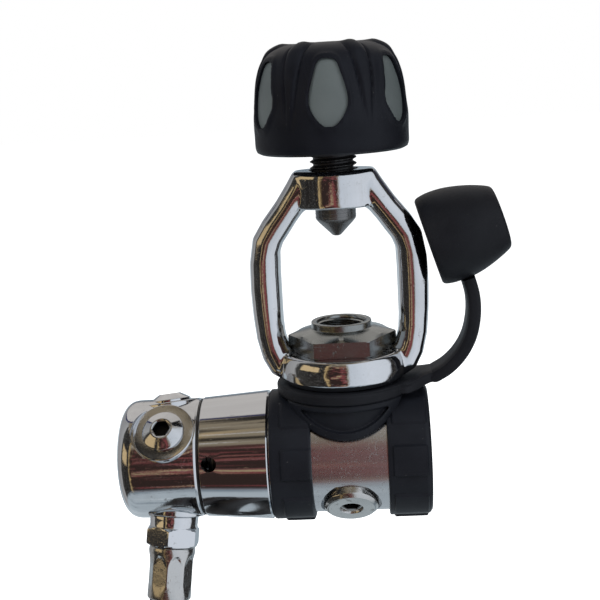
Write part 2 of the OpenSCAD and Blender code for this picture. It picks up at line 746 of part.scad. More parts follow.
module lp_plug_o_rings() {
    color("black") for (a = lp_angles) at_lp(a)
        translate([0, 0, lp_face - 0.55]) o_ring(lp_thread_r - 0.03, 0.42);
}

module hose_fitting() {
    collar_s = lp_face + plug_flange_gap;
    color("silver") at_lp(hose_angle) difference() {
        union() {
            translate([0, 0, lp_face - lp_depth + 0.6])
                cylinder(h = lp_depth, r = lp_thread_r - thread_gap);
            translate([0, 0, collar_s]) cylinder(h = collar_l + eps, r = hose_af / 2);
            translate([0, 0, hex_s]) rotate([0, 0, 30]) chamfered_hex(hose_hex_l, hose_af, 0.8);
            translate([0, 0, ferrule_s - 1]) cylinder(h = ferrule_l, r = 3.6);
        }
        translate([0, 0, lp_face - lp_depth]) cylinder(h = 60, r = 1.8);
        translate([0, 0, lp_face - 1.2]) tube(1.3, lp_thread_r + 1, lp_thread_r - 0.5);
    }
}

module hose_fitting_o_ring() {
    color("black") at_lp(hose_angle) translate([0, 0, lp_face - 0.55])
        o_ring(lp_thread_r - 0.03, 0.42);
}

module crimped_ferrule(length) {
    difference() {
        union() {
            intersection() {
                cylinder(h = length, r = ferrule_r);
                union() {
                    cylinder(h = length - 2.6, r = (ferrule_r - 0.25) / cos(22.5), $fn = 8);
                    cylinder(h = 1.6, r = ferrule_r + 1);
                }
            }
            translate([0, 0, length - 2.6 - eps]) cylinder(h = 2.6 + eps, r = ferrule_r);
        }
        translate([0, 0, -1]) cylinder(h = length + 0.6, r = 3.6 + lay_gap);
    }
}

module hose_ferrule() {
    color("gainsboro") at_lp(hose_angle) translate([0, 0, ferrule_s + lay_gap])
        crimped_ferrule(ferrule_l - lay_gap);
}

module hose_lead() {
    color([0.1, 0.1, 0.1]) swept(smooth_route(lead_route), hose_r, hose_sides, [1, 0, 0]);
}

module hose_coil() {
    color([0.12, 0.12, 0.12]) translate([coil_x - coil_half_w, coil_y, coil_z])
        rotate([0, 90, 0]) tube(2 * coil_half_w, coil_r + hose_r + 0.25, coil_r - hose_r - 0.25);
}

module hose_tail() {
    color([0.1, 0.1, 0.1]) swept(smooth_route(tail_route), hose_r, hose_sides, [1, 0, 0]);
}

// Two strap loops round the coil's turns
module coil_ties() {
    w = 2 * coil_half_w + 1.4;
    h = 2 * hose_r + 2;
    color([0.15, 0.15, 0.16]) for (a = [35, 325]) translate([coil_x, coil_y, coil_z])
        rotate([a, 0, 0]) translate([0, coil_r, 0]) difference() {
            cube([w + 3, h + 3, 14], center = true);
            cube([w, h, 15], center = true);
        }
}

// ---- Far end of the hose ----

module at_far_end(t) {
    translate([far_x, far_y + t, far_z]) rotate([-90, 0, 0]) children();
}

module far_ferrule() {
    color("gainsboro") at_far_end(far_ferrule_l + lay_gap) rotate([180, 0, 0])
        crimped_ferrule(far_ferrule_l);
}

module far_stem() {
    color("silver") at_far_end(0) difference() {
        union() {
            translate([0, 0, 2]) cylinder(h = far_ferrule_l, r = 3.6);
            translate([0, 0, far_ferrule_l + 0.1]) cylinder(h = 15, r = 4.2);
            translate([0, 0, far_ferrule_l + 8]) cylinder(h = 2, r = 6.2);
        }
        translate([0, 0, -1]) cylinder(h = 60, r = 1.8);
        translate([0, 0, far_ferrule_l + 11.6]) tube(1.9, 5, 3.4);
    }
}

module far_stem_o_ring() {
    color("black") at_far_end(far_ferrule_l + 12.55) o_ring(4.2, 0.75);
}

module swivel_nut() {
    color("silver") at_far_end(far_ferrule_l + 4.5) difference() {
        union() {
            cylinder(h = 4, r = nut_af / 2 - 0.6);
            translate([0, 0, 3.6]) chamfered_hex(nut_l - 3.6, nut_af, 1);
        }
        translate([0, 0, -1]) cylinder(h = nut_l, r = 4.2 + run_fit);
        translate([0, 0, 3.2]) cylinder(h = nut_l - 3.2 - nut_thread_l, r = nut_thread_r + 0.35);
        translate([0, 0, 3.3]) cylinder(h = nut_l, r = nut_thread_r);
    }
}

// ---- Bumper boot, strap and cap ----

// One band of the boot with its raised blocks
module boot_band(x0, x1, first_angle) {
    block_l = (x1 - x0) * 0.56;
    block_a = 26;
    rod_x(x0, x1, boot_r);
    for (i = [0 : blocks - 1])
        translate([(x0 + x1 - block_l) / 2, 0, axis_z]) rotate([0, 90, 0])
            rotate([0, 0, first_angle + 360 * i / blocks]) rotate_extrude(angle = block_a)
            polygon([[body_r, 0], [boot_r + block_t, 0], [boot_r + block_t, block_l],
                [body_r, block_l]]);
}

module bumper_boot() {
    strap_top = saddle_top_z;
    color([0.11, 0.12, 0.14]) difference() {
        union() {
            difference() {
                union() {
                    boot_band(band_x, band_x + band_w, 8);
                    boot_band(far_band_x, boot_end_x, 8);
                }
                rod_x(band_x - 1, plain_end_d + lay_gap, body_r + lay_gap);
                rod_x(plain_end_d, boot_end_x + 1, boot_lip_r);
            }
            // Saddle: a cone round the neck, kept outside the body
            difference() {
                translate([0, 0, saddle_low_z - 12]) cylinder(h = strap_top - saddle_low_z + 12,
                    r1 = saddle_low_r - 1.9, r2 = saddle_top_r);
                rod_x(-40, 40, body_r + lay_gap);
                translate([-40, -40, axis_z - 60]) cube([80, 80, 60]);
                // Crescent recess between the rim and the ring
                difference() {
                    translate([0, 0, saddle_low_z - 8]) cylinder(h = strap_top - saddle_low_z + 5.4,
                        r = 30);
                    translate([0, 0, saddle_low_z - 12])
                        cylinder(h = strap_top - saddle_low_z + 12, r1 = saddle_low_r - 3.4,
                            r2 = saddle_top_r - 1.5);
                    rod_x(-40, 40, boot_r + 2.6);
                }
            }
        }
        rod_z(axis_z, 0, neck_r + lay_gap);
        // The boot stops where the barrel begins
        translate([band_x - 40, -40, -100]) cube([40, 80, 100]);
    }
}

module strap_band(points, t, w) {
    n = len(points);
    side = [for (i = [0 : n - 1]) let (d = heading(points, i)) [-d.y, d.x] * t / 2];
    outline = concat([for (i = [0 : n - 1]) points[i] + side[i]],
        [for (i = [n - 1 : -1 : 0]) points[i] - side[i]]);
    rotate([90, 0, 0]) translate([0, 0, -w / 2]) linear_extrude(w) polygon(outline);
}

// A roll round the strap's bend, across the strap
module at_bend(r, w) {
    translate([strap_path[0].x, w / 2, strap_path[0].y]) rotate([90, 0, 0]) cylinder(h = w, r = r);
}

module strap_ring() {
    color([0.1, 0.1, 0.11]) difference() {
        union() {
            rod_z(strap_bottom_z, strap_top_z, strap_ring_r);
            strap_band(strap_root, strap_t - 0.6, strap_w);
        }
        rod_z(strap_bottom_z - 2, strap_top_z + 2, neck_r + 0.3);
        at_bend(strap_t / 2 + seat_gap, strap_w + 2);
    }
}

module cap_strap() {
    color([0.1, 0.1, 0.11]) {
        strap_band(smooth_route(strap_path, 3), strap_t, strap_w);
        at_bend(strap_t / 2, strap_w);
    }
}

module dust_cap() {
    out = [[cap_r - 1, 0], [cap_r, 0.8], [cap_r + 0.6, 3], [cap_r + 0.7, cap_l * 0.3],
        [cap_r - 0.1, cap_l * 0.55], [cap_r - 1.7, cap_l * 0.78], [cap_r - 3.6, cap_l * 0.96],
        [cap_r - 4.6, cap_l]];
    color([0.09, 0.1, 0.11]) translate([rim_x, 0, rim_z]) rotate([0, 90 - cap_tilt, 0])
        difference() {
            rotate_extrude() polygon(concat([[0, 0]], out, [[0, cap_l]]));
            translate([0, 0, -1]) cylinder(h = cap_l - cap_wall + 1 - 2, r = cap_r - cap_wall);
            translate([0, 0, -1]) cylinder(h = 2, r = cap_r - cap_wall + 0.6);
        }
}

main_body();
seat_retainer();
valve_seat();
seat_retainer_o_ring();
stem_o_ring();
piston_cap();
piston_cap_o_ring();
turret_bolt();
turret_washer();
turret_o_rings();
piston();
piston_head_o_ring();
main_spring();
bumper_boot();
yoke();
inlet_retainer();
retainer_o_ring();
inlet_filter();
filter_clip();
gauge_plugs();
gauge_plug_o_rings();
yoke_screw();
knob_shell();
knob_inserts();
knob_hub();
knob_bolt();
knob_cap();
turret();
seam_ring();
lp_plugs();
lp_plug_o_rings();
hose_fitting();
hose_fitting_o_ring();
hose_ferrule();
hose_lead();
hose_coil();
hose_tail();
coil_ties();
far_ferrule();
far_stem();
far_stem_o_ring();
swivel_nut();
strap_ring();
cap_strap();
dust_cap();
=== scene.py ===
# %% [markdown]
# # A scuba regulator's first stage with its low-pressure hose
# A first stage clamps onto a tank valve with a yoke and a big hand knob, and drops the tank's
# pressure for the hoses. This lesson dresses a finished construction model, the frame, in
# Blender: each piece that shows is modelled again with softer edges and finer detail, and each
# surface gets a finish made of nodes. The frame says where everything is, in metres.

# %% Load the frame
import json
import math

import bmesh
import bpy
from mathutils import Matrix, Vector, noise


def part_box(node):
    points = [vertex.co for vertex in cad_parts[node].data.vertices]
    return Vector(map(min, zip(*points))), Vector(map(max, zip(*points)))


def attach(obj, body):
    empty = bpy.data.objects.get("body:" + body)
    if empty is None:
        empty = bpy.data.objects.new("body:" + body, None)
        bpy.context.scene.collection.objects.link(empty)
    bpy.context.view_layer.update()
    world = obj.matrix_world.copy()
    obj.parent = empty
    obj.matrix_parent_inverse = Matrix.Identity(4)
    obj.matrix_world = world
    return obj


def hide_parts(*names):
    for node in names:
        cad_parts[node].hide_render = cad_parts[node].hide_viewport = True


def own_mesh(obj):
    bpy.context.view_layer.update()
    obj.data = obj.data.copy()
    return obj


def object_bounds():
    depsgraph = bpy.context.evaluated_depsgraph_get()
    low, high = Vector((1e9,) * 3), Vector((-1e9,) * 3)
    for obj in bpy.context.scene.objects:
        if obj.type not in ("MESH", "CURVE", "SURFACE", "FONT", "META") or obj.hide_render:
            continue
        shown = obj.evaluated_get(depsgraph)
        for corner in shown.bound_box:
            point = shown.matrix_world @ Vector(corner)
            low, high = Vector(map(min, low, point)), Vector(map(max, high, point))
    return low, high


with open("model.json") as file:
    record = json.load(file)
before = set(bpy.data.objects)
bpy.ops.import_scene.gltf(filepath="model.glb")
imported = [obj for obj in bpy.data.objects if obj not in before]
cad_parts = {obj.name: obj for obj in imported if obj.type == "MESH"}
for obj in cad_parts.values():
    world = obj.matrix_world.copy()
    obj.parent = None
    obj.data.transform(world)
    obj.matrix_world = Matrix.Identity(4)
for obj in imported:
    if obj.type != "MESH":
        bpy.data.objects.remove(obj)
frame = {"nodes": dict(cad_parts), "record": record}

cad_low, cad_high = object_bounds()

# %% [markdown]
# ## The camera
# An upright object is usually looked at from a little above it, and this view leans a few
# degrees as well. The camera could be aimed with a constraint, but its own three axes, worked
# out once from pitch, yaw and roll, say exactly where it looks and carry the lean.

# %% Camera
CAMERA_AT = Vector((0.00734, -0.32206, 0.07083))
PITCH, YAW, ROLL = (math.radians(a) for a in (11.305, -3.359, -3.346))
LENS_MM = 68.54
CLIP_START = 0.01


def placed(name, data):
    """A new object at the origin that shows some data."""
    thing = bpy.data.objects.new(name, data)
    bpy.context.collection.objects.link(thing)
    return thing


ahead = Vector((math.sin(YAW) * math.cos(PITCH), math.cos(YAW) * math.cos(PITCH), -math.sin(PITCH)))
level = Vector((math.cos(YAW), -math.sin(YAW), 0))
above = level.cross(ahead)
right = math.cos(ROLL) * level + math.sin(ROLL) * above
up = -math.sin(ROLL) * level + math.cos(ROLL) * above
camera = placed("camera", bpy.data.cameras.new("camera"))
axes = Matrix((right, up, -ahead)).transposed().to_4x4()
camera.matrix_world = Matrix.Translation(CAMERA_AT) @ axes
camera.data.lens = LENS_MM
camera.data.clip_start = CLIP_START
bpy.context.scene.camera = camera
bpy.context.scene.view_settings.view_transform = "Standard"
print("camera looks along", tuple(round(c, 3) for c in ahead))

# %% [markdown]
# ## Shader maths as sums
# A finish is a small calculation at each point of a surface. Blender writes it as boxes and
# wires, which is hard to read in a script, so one class wraps a socket: plus, minus and times
# on it add the Math nodes, and `make` adds any other node.


# %% A socket that can be added and multiplied
class Flow:
    """A number or colour that flows between nodes of one tree."""

    def __init__(self, tree, socket):
        self.tree, self.socket = tree, socket

    def make(self, kind, out=0, settings=None, **sockets):
        """Adds a node: its settings first, then its sockets' values or links. A socket is named,
        or given by its number as n0, n1 and so on."""
        node = self.tree.nodes.new("ShaderNode" + kind)
        for name, value in (settings or {}).items():
            if name == "stops":
                ramp = node.color_ramp.elements
                for place, shade in value[2:]:
                    ramp.new(place)
                for stop, (place, shade) in zip(ramp, value):
                    stop.position = place
                    stop.color = (*shade, 1)
            else:
                setattr(node, name, value)
        for name, value in sockets.items():
            numbered = name[0] == "n" and name[1:].isdigit()
            target = node.inputs[int(name[1:]) if numbered else name.replace("_", " ")]
            if isinstance(value, Flow):
                self.tree.links.new(value.socket, target)
            else:
                target.default_value = (*value, 1) if target.type == "RGBA" else value
        return Flow(self.tree, node.outputs[out])

    def math(self, operation, *numbers):
        """A Math node on numbers and flows."""
        inputs = {f"n{i}": v for i, v in enumerate(numbers)}
        return self.make("Math", settings={"operation": operation}, **inputs)

    def __add__(self, other):
        return self.math("ADD", self, other)

    def __radd__(self, other):
        return self.math("ADD", other, self)

    def __sub__(self, other):
        return self.math("SUBTRACT", self, other)

    def __rsub__(self, other):
        return self.math("SUBTRACT", other, self)

    def __mul__(self, other):
        return self.math("MULTIPLY", self, other)

    def __rmul__(self, other):
        return self.math("MULTIPLY", other, self)

    def larger(self, other):
        """The larger of two numbers."""
        return self.math("MAXIMUM", self, other)

    def between(self, low, high):
        """0 below low, 1 above high, and a soft step between them."""
        soft = {"interpolation_type": "SMOOTHSTEP"}
        return self.make("MapRange", settings=soft, n0=self, n1=low, n2=high, n3=0.0, n4=1.0)

    def inside(self, low, high, edge):
        """1 between low and high and 0 outside, with soft edges that lie inside."""
        return self.between(low, low + edge) * (1.0 - self.between(high - edge, high))

    def mix(self, first, second):
        """A colour between two, by this number."""
        return self.make("Mix", out=2, settings={"data_type": "RGBA"}, n0=self, n6=first, n7=second)

    def stretched(self, x, y, z):
        """These coordinates scaled along each axis."""
        return self.make("Mapping", n0=self, n3=(x, y, z))

    def grain(self, scale, detail=3.0, rough=0.55):
        """Noise from 0 to 1 on these coordinates."""
        return self.make("TexNoise", n2=scale, n3=detail, n4=rough, Vector=self)

    def part(self, axis):
        """One of the three numbers of a vector: 0 for X, 1 for Y, 2 for Z."""
        return self.make("SeparateXYZ", out=axis, n0=self)


print("shader maths ready")

# %% [markdown]
# ## Finishes
# Each finish starts the same way: a Principled shader, Object coordinates for the patterns, and
# the numbers that hold all over. Then a recipe adds what changes: colour, wear, roughness and
# bump. The patterns are sized in turns per metre, so 2000 is a grain of half a millimetre.

# %% One helper starts every finish
finishes = {}


def finish(slot, recipe, metallic=0.0, roughness=0.5, **constants):
    """A node material for one slot of the record. The recipe returns links by socket name."""
    made = bpy.data.materials.new(slot)
    made.use_nodes = True
    tree = made.node_tree
    shader = tree.nodes["Principled BSDF"]
    shader.inputs["Metallic"].default_value = metallic
    shader.inputs["Roughness"].default_value = roughness
    for name, value in constants.items():
        shader.inputs[name.replace("_", " ")].default_value = value
    root = Flow(tree, None)
    place = root.make("TexCoord", out=3)
    for name, value in recipe(place).items():
        tree.links.new(value.socket, shader.inputs[name])
    finishes[slot] = made
    print("finish:", slot, "with", len(tree.nodes), "nodes")
    return made


def bump(height, depth, strength=1.0):
    """A Bump node: height from 0 to 1, and how deep 1 is, in metres."""
    return height.make("Bump", n0=strength, n1=depth, Height=height)


# %% [markdown]
# ### Plated and bare metals
# Chrome is a mirror, but never a perfect one: the polishing under the plate leaves a faint
# swell, use leaves hairlines and dull spots, and salt leaves specks. All of it is small, so it
# shows as a slight break-up of the reflections. Hairlines are noise drawn out along one axis.

# %% Metals


def plated(colour, dull, base_rough, rough_span, swell, specks):
    """Plate or bare metal: clean and tarnished colours, least roughness and how much wear adds,
    depth of the swell in metres, and the level of noise above which it is specked. Inside a key
    socket, marked by an attribute, the metal is painted near black as painted shade, and made rougher."""

    def recipe(place):
        cloud = place.grain(45.0, 4.0)
        fine = place.grain(1900.0, 2.0)
        hair = place.stretched(1.0, 0.06, 0.5).grain(2600.0, 2.0)
        hair_across = place.stretched(0.08, 1.0, 1.0).grain(2100.0, 2.0)
        lines = hair.between(0.66, 0.74) * 0.5 + hair_across.between(0.67, 0.75) * 0.5
        spots = place.grain(420.0, 5.0, 0.7).between(specks, specks + 0.1)
        worn = cloud.between(0.42, 0.72)
        stain = worn * 0.35 + spots * 0.65
        # Painted shade: inside key sockets the metal is painted near black, standing in for the shade in
        # the recess.
        grime = place.make("Attribute", out=2, settings={"attribute_name": "grime"})
        tint = grime.mix(stain.mix(colour, dull), (0.025, 0.024, 0.023))
        wear = worn * rough_span + spots * (rough_span * 1.6) + lines * (rough_span * 0.8)
        rough = base_rough + wear + grime * 0.35
        relief = fine * 0.25 + cloud * 1.0 - lines * 0.35 - spots * 0.3
        return {"Base Color": tint, "Roughness": rough, "Normal": bump(relief, swell)}

    return recipe


CHROME, CHROME_WORN = (0.66, 0.67, 0.685), (0.40, 0.395, 0.385)
METALS = {
    "chrome_plate": (CHROME, CHROME_WORN, 0.045, 0.085, 0.000035, 0.62),
    "satin_nickel": ((0.31, 0.325, 0.32), (0.18, 0.18, 0.17), 0.19, 0.10, 0.00006, 0.62),
    "crimped_steel": ((0.56, 0.555, 0.54), (0.33, 0.325, 0.31), 0.16, 0.12, 0.00008, 0.57),
    "stainless": ((0.55, 0.545, 0.53), (0.40, 0.39, 0.38), 0.20, 0.10, 0.00003, 0.66),
    "spring_steel": ((0.36, 0.36, 0.37), (0.20, 0.19, 0.18), 0.26, 0.14, 0.00003, 0.6),
    "bare_brass": ((0.62, 0.47, 0.23), (0.34, 0.24, 0.12), 0.22, 0.16, 0.00004, 0.58),
}
for slot, numbers in METALS.items():
    finish(slot, plated(*numbers), metallic=1.0)

# %% [markdown]
# ### The body's pitted window
# Between the boot's bands the plate has gone dull: salt pits, each a fraction of a millimetre,
# break the mirror. The mask is the place along the body, and outside it the recipe is chrome.

# %% Pitted chrome
WINDOW_LOW, WINDOW_HIGH, WINDOW_EDGE = -0.0105, 0.0125, 0.001


def pitted(place):
    along = place.part(0)
    in_window = along.inside(WINDOW_LOW, WINDOW_HIGH, WINDOW_EDGE)
    cloud = place.grain(60.0, 5.0, 0.65)
    pits = place.grain(1500.0, 3.0, 0.7)
    pit = pits.between(0.55, 0.68) * cloud.between(0.40, 0.62) * in_window
    hair = place.stretched(0.08, 1.0, 1.0).grain(2100.0, 2.0).between(0.67, 0.75)
    tint = (pit * 0.6 + in_window * 0.25).mix((0.64, 0.65, 0.665), (0.46, 0.43, 0.42))
    rough = 0.05 + in_window * 0.15 + pit * 0.16 + cloud * 0.06 + hair * 0.04
    relief = cloud * 0.8 - pit * 0.5 - hair * 0.2
    return {"Base Color": tint, "Roughness": rough, "Normal": bump(relief, 0.000022)}


finish("pitted_chrome", pitted, metallic=1.0)

# %% [markdown]
# ### Black screw, bronze filter
# The screw's black oxide has rubbed off the crests of its thread, which stand furthest from its
# axis, so the distance from the axis is the wear mask, and its tip is turned bare. The filter is
# bronze powder pressed and fired: little balls, which a Voronoi cell pattern gives.

# %% Screw and filter
SCREW_CREST, TIP_LOW, TIP_HIGH = 0.0064, 0.0335, 0.0338


def oxide(place):
    x, y, z = (place.part(i) for i in range(3))
    square = x * x + y * y
    away = square.math("SQRT", square)
    rub = place.grain(900.0, 4.0)
    bare = away.between(SCREW_CREST - 0.0003, SCREW_CREST + 0.0001) * rub.between(0.45, 0.7)
    tip = 1.0 - z.between(TIP_LOW, TIP_HIGH)
    steel = (bare * 0.4).larger(tip * (0.75 + rub * 0.25))
    tint = steel.mix((0.014, 0.014, 0.016), (0.20, 0.20, 0.20))
    rough = 0.38 - steel * 0.20 + rub * 0.1
    return {"Base Color": tint, "Metallic": 0.35 + steel * 0.6, "Roughness": rough,
            "Normal": bump(rub, 0.00004)}


def powder(place):
    cells = place.make("TexVoronoi", n2=2600.0, Vector=place)
    cloud = place.grain(300.0)
    return {"Base Color": (cells * 1.2 * cloud).mix((0.40, 0.24, 0.12), (0.16, 0.10, 0.05)),
            "Roughness": 0.45 + cloud * 0.2, "Normal": bump(1.0 - cells, 0.00018)}


finish("black_screw", oxide)
finish("sintered_bronze", powder, metallic=0.8)

# %% [markdown]
# ### Rubbers and plastics
# Moulded rubber takes the mould's fine spark-eroded grain, dulls where it is handled and holds
# dust. Soft-touch paint, on the knob, is the same with a finer grain. The grain is a bump of a
# few hundredths of a millimetre; the dust is sparse pale specks.

# %% Rubbers and plastics


def rubber(dark, pale, rough, grain_scale, depth, dust):
    """Rubber or plastic: two close colours, roughness, the grain's scale and depth, and the level
    of noise above which there is dust."""

    def recipe(place):
        cloud = place.grain(70.0, 4.0)
        grain = place.grain(grain_scale, 3.0, 0.6)
        scuff = place.stretched(0.2, 1.0, 0.6).grain(1500.0, 2.0).between(0.68, 0.8)
        specks = place.grain(1900.0, 1.0).between(dust, dust + 0.04)
        tint = (cloud.between(0.3, 0.7) * 0.6 + scuff * 0.25).mix(dark, pale)
        dusty = (specks * 0.7).mix(tint, (0.13, 0.13, 0.125))
        wear = rough - 0.07 + cloud * 0.14 + specks * 0.2 - scuff * 0.05
        return {"Base Color": dusty, "Roughness": wear, "Normal": bump(grain + scuff * 0.4, depth)}

    return recipe


SHEEN = 0.5
RUBBERS = {
    "boot_rubber": ((0.0065, 0.0075, 0.0105), (0.011, 0.0125, 0.017), 0.40, 3800.0, 0.00004, 0.78, 0.15),
    "cap_rubber": ((0.0055, 0.006, 0.008), (0.011, 0.012, 0.015), 0.46, 3400.0, 0.00005, 0.80, 0.14),
    "knob_rubber": ((0.0045, 0.0052, 0.008), (0.009, 0.0102, 0.014), 0.43, 4600.0, 0.00003, 0.79, 0.12),
    "hose_rubber": ((0.010, 0.010, 0.011), (0.020, 0.020, 0.021), 0.48, 2600.0, 0.00008, 0.76, SHEEN),
    "o_ring_rubber": ((0.008, 0.008, 0.008), (0.014, 0.014, 0.014), 0.30, 5000.0, 0.00002, 0.8, SHEEN),
    "knob_insert": ((0.066, 0.080, 0.082), (0.088, 0.103, 0.105), 0.50, 5200.0, 0.00004, 0.8, SHEEN),
    "seat_plastic": ((0.58, 0.57, 0.52), (0.66, 0.65, 0.60), 0.40, 3000.0, 0.00002, 0.9, SHEEN),
}
for slot, (*numbers, sheen) in RUBBERS.items():
    finish(slot, rubber(*numbers), Specular_IOR_Level=sheen)


def webbing(place):
    """Hook-and-loop strap: two crossed waves for the weave and fuzzy noise for the loops."""
    warp, weft = (place.make("TexWave", settings={"bands_direction": way}, n1=420.0, n2=0.6, Vector=place)
                  for way in "XY")
    fuzz = place.grain(3200.0, 4.0)
    weave = warp * weft * 0.6 + fuzz * 0.6
    tint = weave.mix((0.010, 0.010, 0.012), (0.045, 0.045, 0.05))
    return {"Base Color": tint, "Normal": bump(weave, 0.0003)}


finish("tie_strap", webbing, roughness=0.85)

# %% [markdown]
# ### The frame's own pieces
# Whatever isn't modelled again keeps the frame's shape and only changes its finish, slot by
# slot, as the record lists them. Inside a regulator that is the piston, the spring and seals.

# %% Dress every node of the frame
slot_of = {part["node"]: part["material_slot"] for part in frame["record"]["subparts"]}
for node_name, node in frame["nodes"].items():
    wanted = slot_of.get(node_name)
    if wanted in finishes:
        node.data.materials.clear()
        node.data.materials.append(finishes[wanted])
frame["nodes"]["main_body"].data.materials[0] = finishes["pitted_chrome"]
print("dressed", len(slot_of), "nodes")

# %% [markdown]
# ## Small tools for pieces
# Most of these pieces are turned on a lathe or pressed in a mould, so two tools make nearly all
# of them. The first spins an outline round an axis: its corners are rounded with a vertex bevel
# while it is still a wire, which is cheaper and cleaner than bevelling the finished solid. The
# second presses flats into a turned shape, for hexagons. Shapes are made in millimetres, and
# only become metres when they turn into pieces.

# %% Placing and finishing a piece
MM = 0.001
AXIS_Z = -39.6
SAME = 1e-4


def axis_frame(at, along, across=(1, 0, 0)):
    """Puts a shape made round Z, in millimetres, at a place in the frame with its Z along a way."""
    z = Vector(along).normalized()
    x = Vector(across)
    x = (x - z * x.dot(z)).normalized()
    turn = Matrix((x, z.cross(x), z)).transposed().to_4x4()
    return Matrix.Scale(MM, 4) @ Matrix.Translation(Vector(at)) @ turn


ALONG_X = axis_frame((0, 0, AXIS_Z), (1, 0, 0), (0, 1, 0))
UPRIGHT = Matrix.Scale(MM, 4)
TO_MM = Matrix.Scale(1 / MM, 4)


def port_frame(x, angle, tilt=0.0, out=0.0):
    """The frame of a port: its Z points out of the body at an angle up from the front."""
    a, t = math.radians(angle), math.radians(tilt)
    way = Vector((-math.sin(t), -math.cos(a) * math.cos(t), math.sin(a) * math.cos(t)))
    across = Vector((0, math.sin(a), math.cos(a)))
    return axis_frame(Vector((x, 0, AXIS_Z)) + way * out, way, across)


def shade_edges(shape, sharp):
    """Smooth faces, with the edges that turn more than sharp degrees kept crisp."""
    limit = math.radians(sharp)
    for face in shape.faces:
        face.smooth = True
    for edge in shape.edges:
        edge.smooth = not (len(edge.link_faces) == 2 and edge.calc_face_angle(0) > limit)


def become(shape, name, body, slot, stands_for=(), place=UPRIGHT, sharp=32.0, outward=True):
    """Turns a bmesh in millimetres into a named piece that rides on a body."""
    bmesh.ops.remove_doubles(shape, verts=shape.verts, dist=SAME)
    if outward:
        bmesh.ops.recalc_face_normals(shape, faces=shape.faces)
    shape.transform(place)
    shade_edges(shape, sharp)
    mesh = bpy.data.meshes.new(name)
    shape.to_mesh(mesh)
    shape.free()
    piece = placed(name, mesh)
    mesh.materials.append(finishes[slot])
    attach(piece, body)
    if stands_for:
        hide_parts(*stands_for)
    print(f"{name}: {len(mesh.polygons)} faces, rides on {body}")
    return piece


# %% The lathe


def everything(shape):
    return shape.verts[:] + shape.edges[:] + shape.faces[:]


def lathe(outline, steps=96, closed=False):
    """Spins an outline of (radius, height) or (radius, height, rounding) round Z."""
    shape = bmesh.new()
    corners = [shape.verts.new((max(p[0], 0.0), 0, p[1])) for p in outline]
    for pair in zip(corners, corners[1:] + (corners[:1] if closed else [])):
        shape.edges.new(pair)
    for size in sorted({p[2] for p in outline if len(p) > 2}):
        chosen = [v for v, p in zip(corners, outline) if len(p) > 2 and p[2] == size]
        bmesh.ops.bevel(shape, geom=chosen, offset=size, segments=4, profile=0.5,
                        affect="VERTICES", material=-1)
    bmesh.ops.spin(shape, geom=everything(shape), cent=(0, 0, 0), axis=(0, 0, 1),
                   angle=math.tau, steps=steps, use_merge=True)
    bmesh.ops.remove_doubles(shape, verts=shape.verts, dist=SAME)
    bmesh.ops.recalc_face_normals(shape, faces=shape.faces)
    return shape


def off_flat(v, sides, phase=0.0):
    """The angle between a vertex and the middle of its nearest flat."""
    step = math.tau / sides
    return (math.atan2(v.co.y, v.co.x) - phase + step / 2) % step - step / 2


def press_flats(shape, sides, low, high, depth, phase=0.0):
    """Presses flats into a turned shape between two heights, at a distance from its axis."""
    for v in shape.verts:
        flat = depth / math.cos(off_flat(v, sides, phase))
        if low <= v.co.z <= high and v.co.xy.length > flat:
            v.co.xy *= flat / v.co.xy.length


def rod(radius, low, high, steps=96):
    """A plain round bar from one height to another, to cut with."""
    return lathe([(0, low), (radius, low), (radius, high), (0, high)], steps)


def join(*shapes):
    """One bmesh from several."""
    whole = shapes[0]
    for extra in shapes[1:]:
        mesh = bpy.data.meshes.new("spare")
        extra.to_mesh(mesh)
        whole.from_mesh(mesh)
        bpy.data.meshes.remove(mesh)
        extra.free()
    return whole


def as_object(shape):
    """A scratch object that a modifier can work on."""
    mesh = bpy.data.meshes.new("spare")
    shape.to_mesh(mesh)
    shape.free()
    return placed("spare", mesh)


def discard(thing):
    """Takes a scratch object and its mesh away."""
    mesh = thing.data
    bpy.data.objects.remove(thing)
    bpy.data.meshes.remove(mesh)


def applied(made):
    """The scratch object's shape with its modifiers, as a bmesh, and the object goes."""
    shape = bmesh.new()
    shape.from_object(made, bpy.context.evaluated_depsgraph_get())
    discard(made)
    return shape


def carve(shape, tools):
    """Cuts a shape with tools, adds them or keeps what is inside: each is (bmesh, operation)."""
    bmesh.ops.remove_doubles(shape, verts=shape.verts, dist=SAME)
    bmesh.ops.recalc_face_normals(shape, faces=shape.faces)
    made = as_object(shape)
    others = []
    for tool, how in tools:
        bmesh.ops.recalc_face_normals(tool, faces=tool.faces)
        other = as_object(tool)
        step = made.modifiers.new("carve", "BOOLEAN")
        step.object = other
        step.operation = how
        step.solver = "EXACT"
        others.append(other)
    bpy.context.view_layer.update()
    result = applied(made)
    for other in others:
        discard(other)
    return result


def mould(shape, grain, passes):
    """Fuses overlapping solids into one skin and rounds it, as forging or moulding does."""
    made = as_object(shape)
    skin = made.modifiers.new("skin", "REMESH")
    skin.mode = "VOXEL"
    skin.voxel_size = grain
    bpy.context.view_layer.update()
    result = applied(made)
    for _ in range(passes):
        bmesh.ops.smooth_vert(result, verts=result.verts, factor=0.5, use_axis_x=True,
                              use_axis_y=True, use_axis_z=True)
    return result


def from_node(name):
    """A merged copy of a frame node's mesh, in millimetres."""
    shape = bmesh.new()
    shape.from_mesh(frame["nodes"][name].data)
    shape.transform(TO_MM)
    bmesh.ops.remove_doubles(shape, verts=shape.verts, dist=1e-3)
    return shape


def smooth_step(value, low, high):
    """0 below low, 1 above high, and a soft step between them."""
    t = min(max((value - low) / (high - low), 0.0), 1.0)
    return t * t * (3 - 2 * t)


print("lathe, press, carve and mould ready")

# %% [markdown]
# ## The hose
# A low-pressure hose is a fixed length of reinforced rubber, about 70 cm with its fittings. It
# leaves the turret's ferrule, and its spare length is wound in one loose coil that hangs below.
# A mesh tube could be swept ring by ring, but a curve with a round bevel is a tube already,
# keeps its section square to its line and can be bent again later.

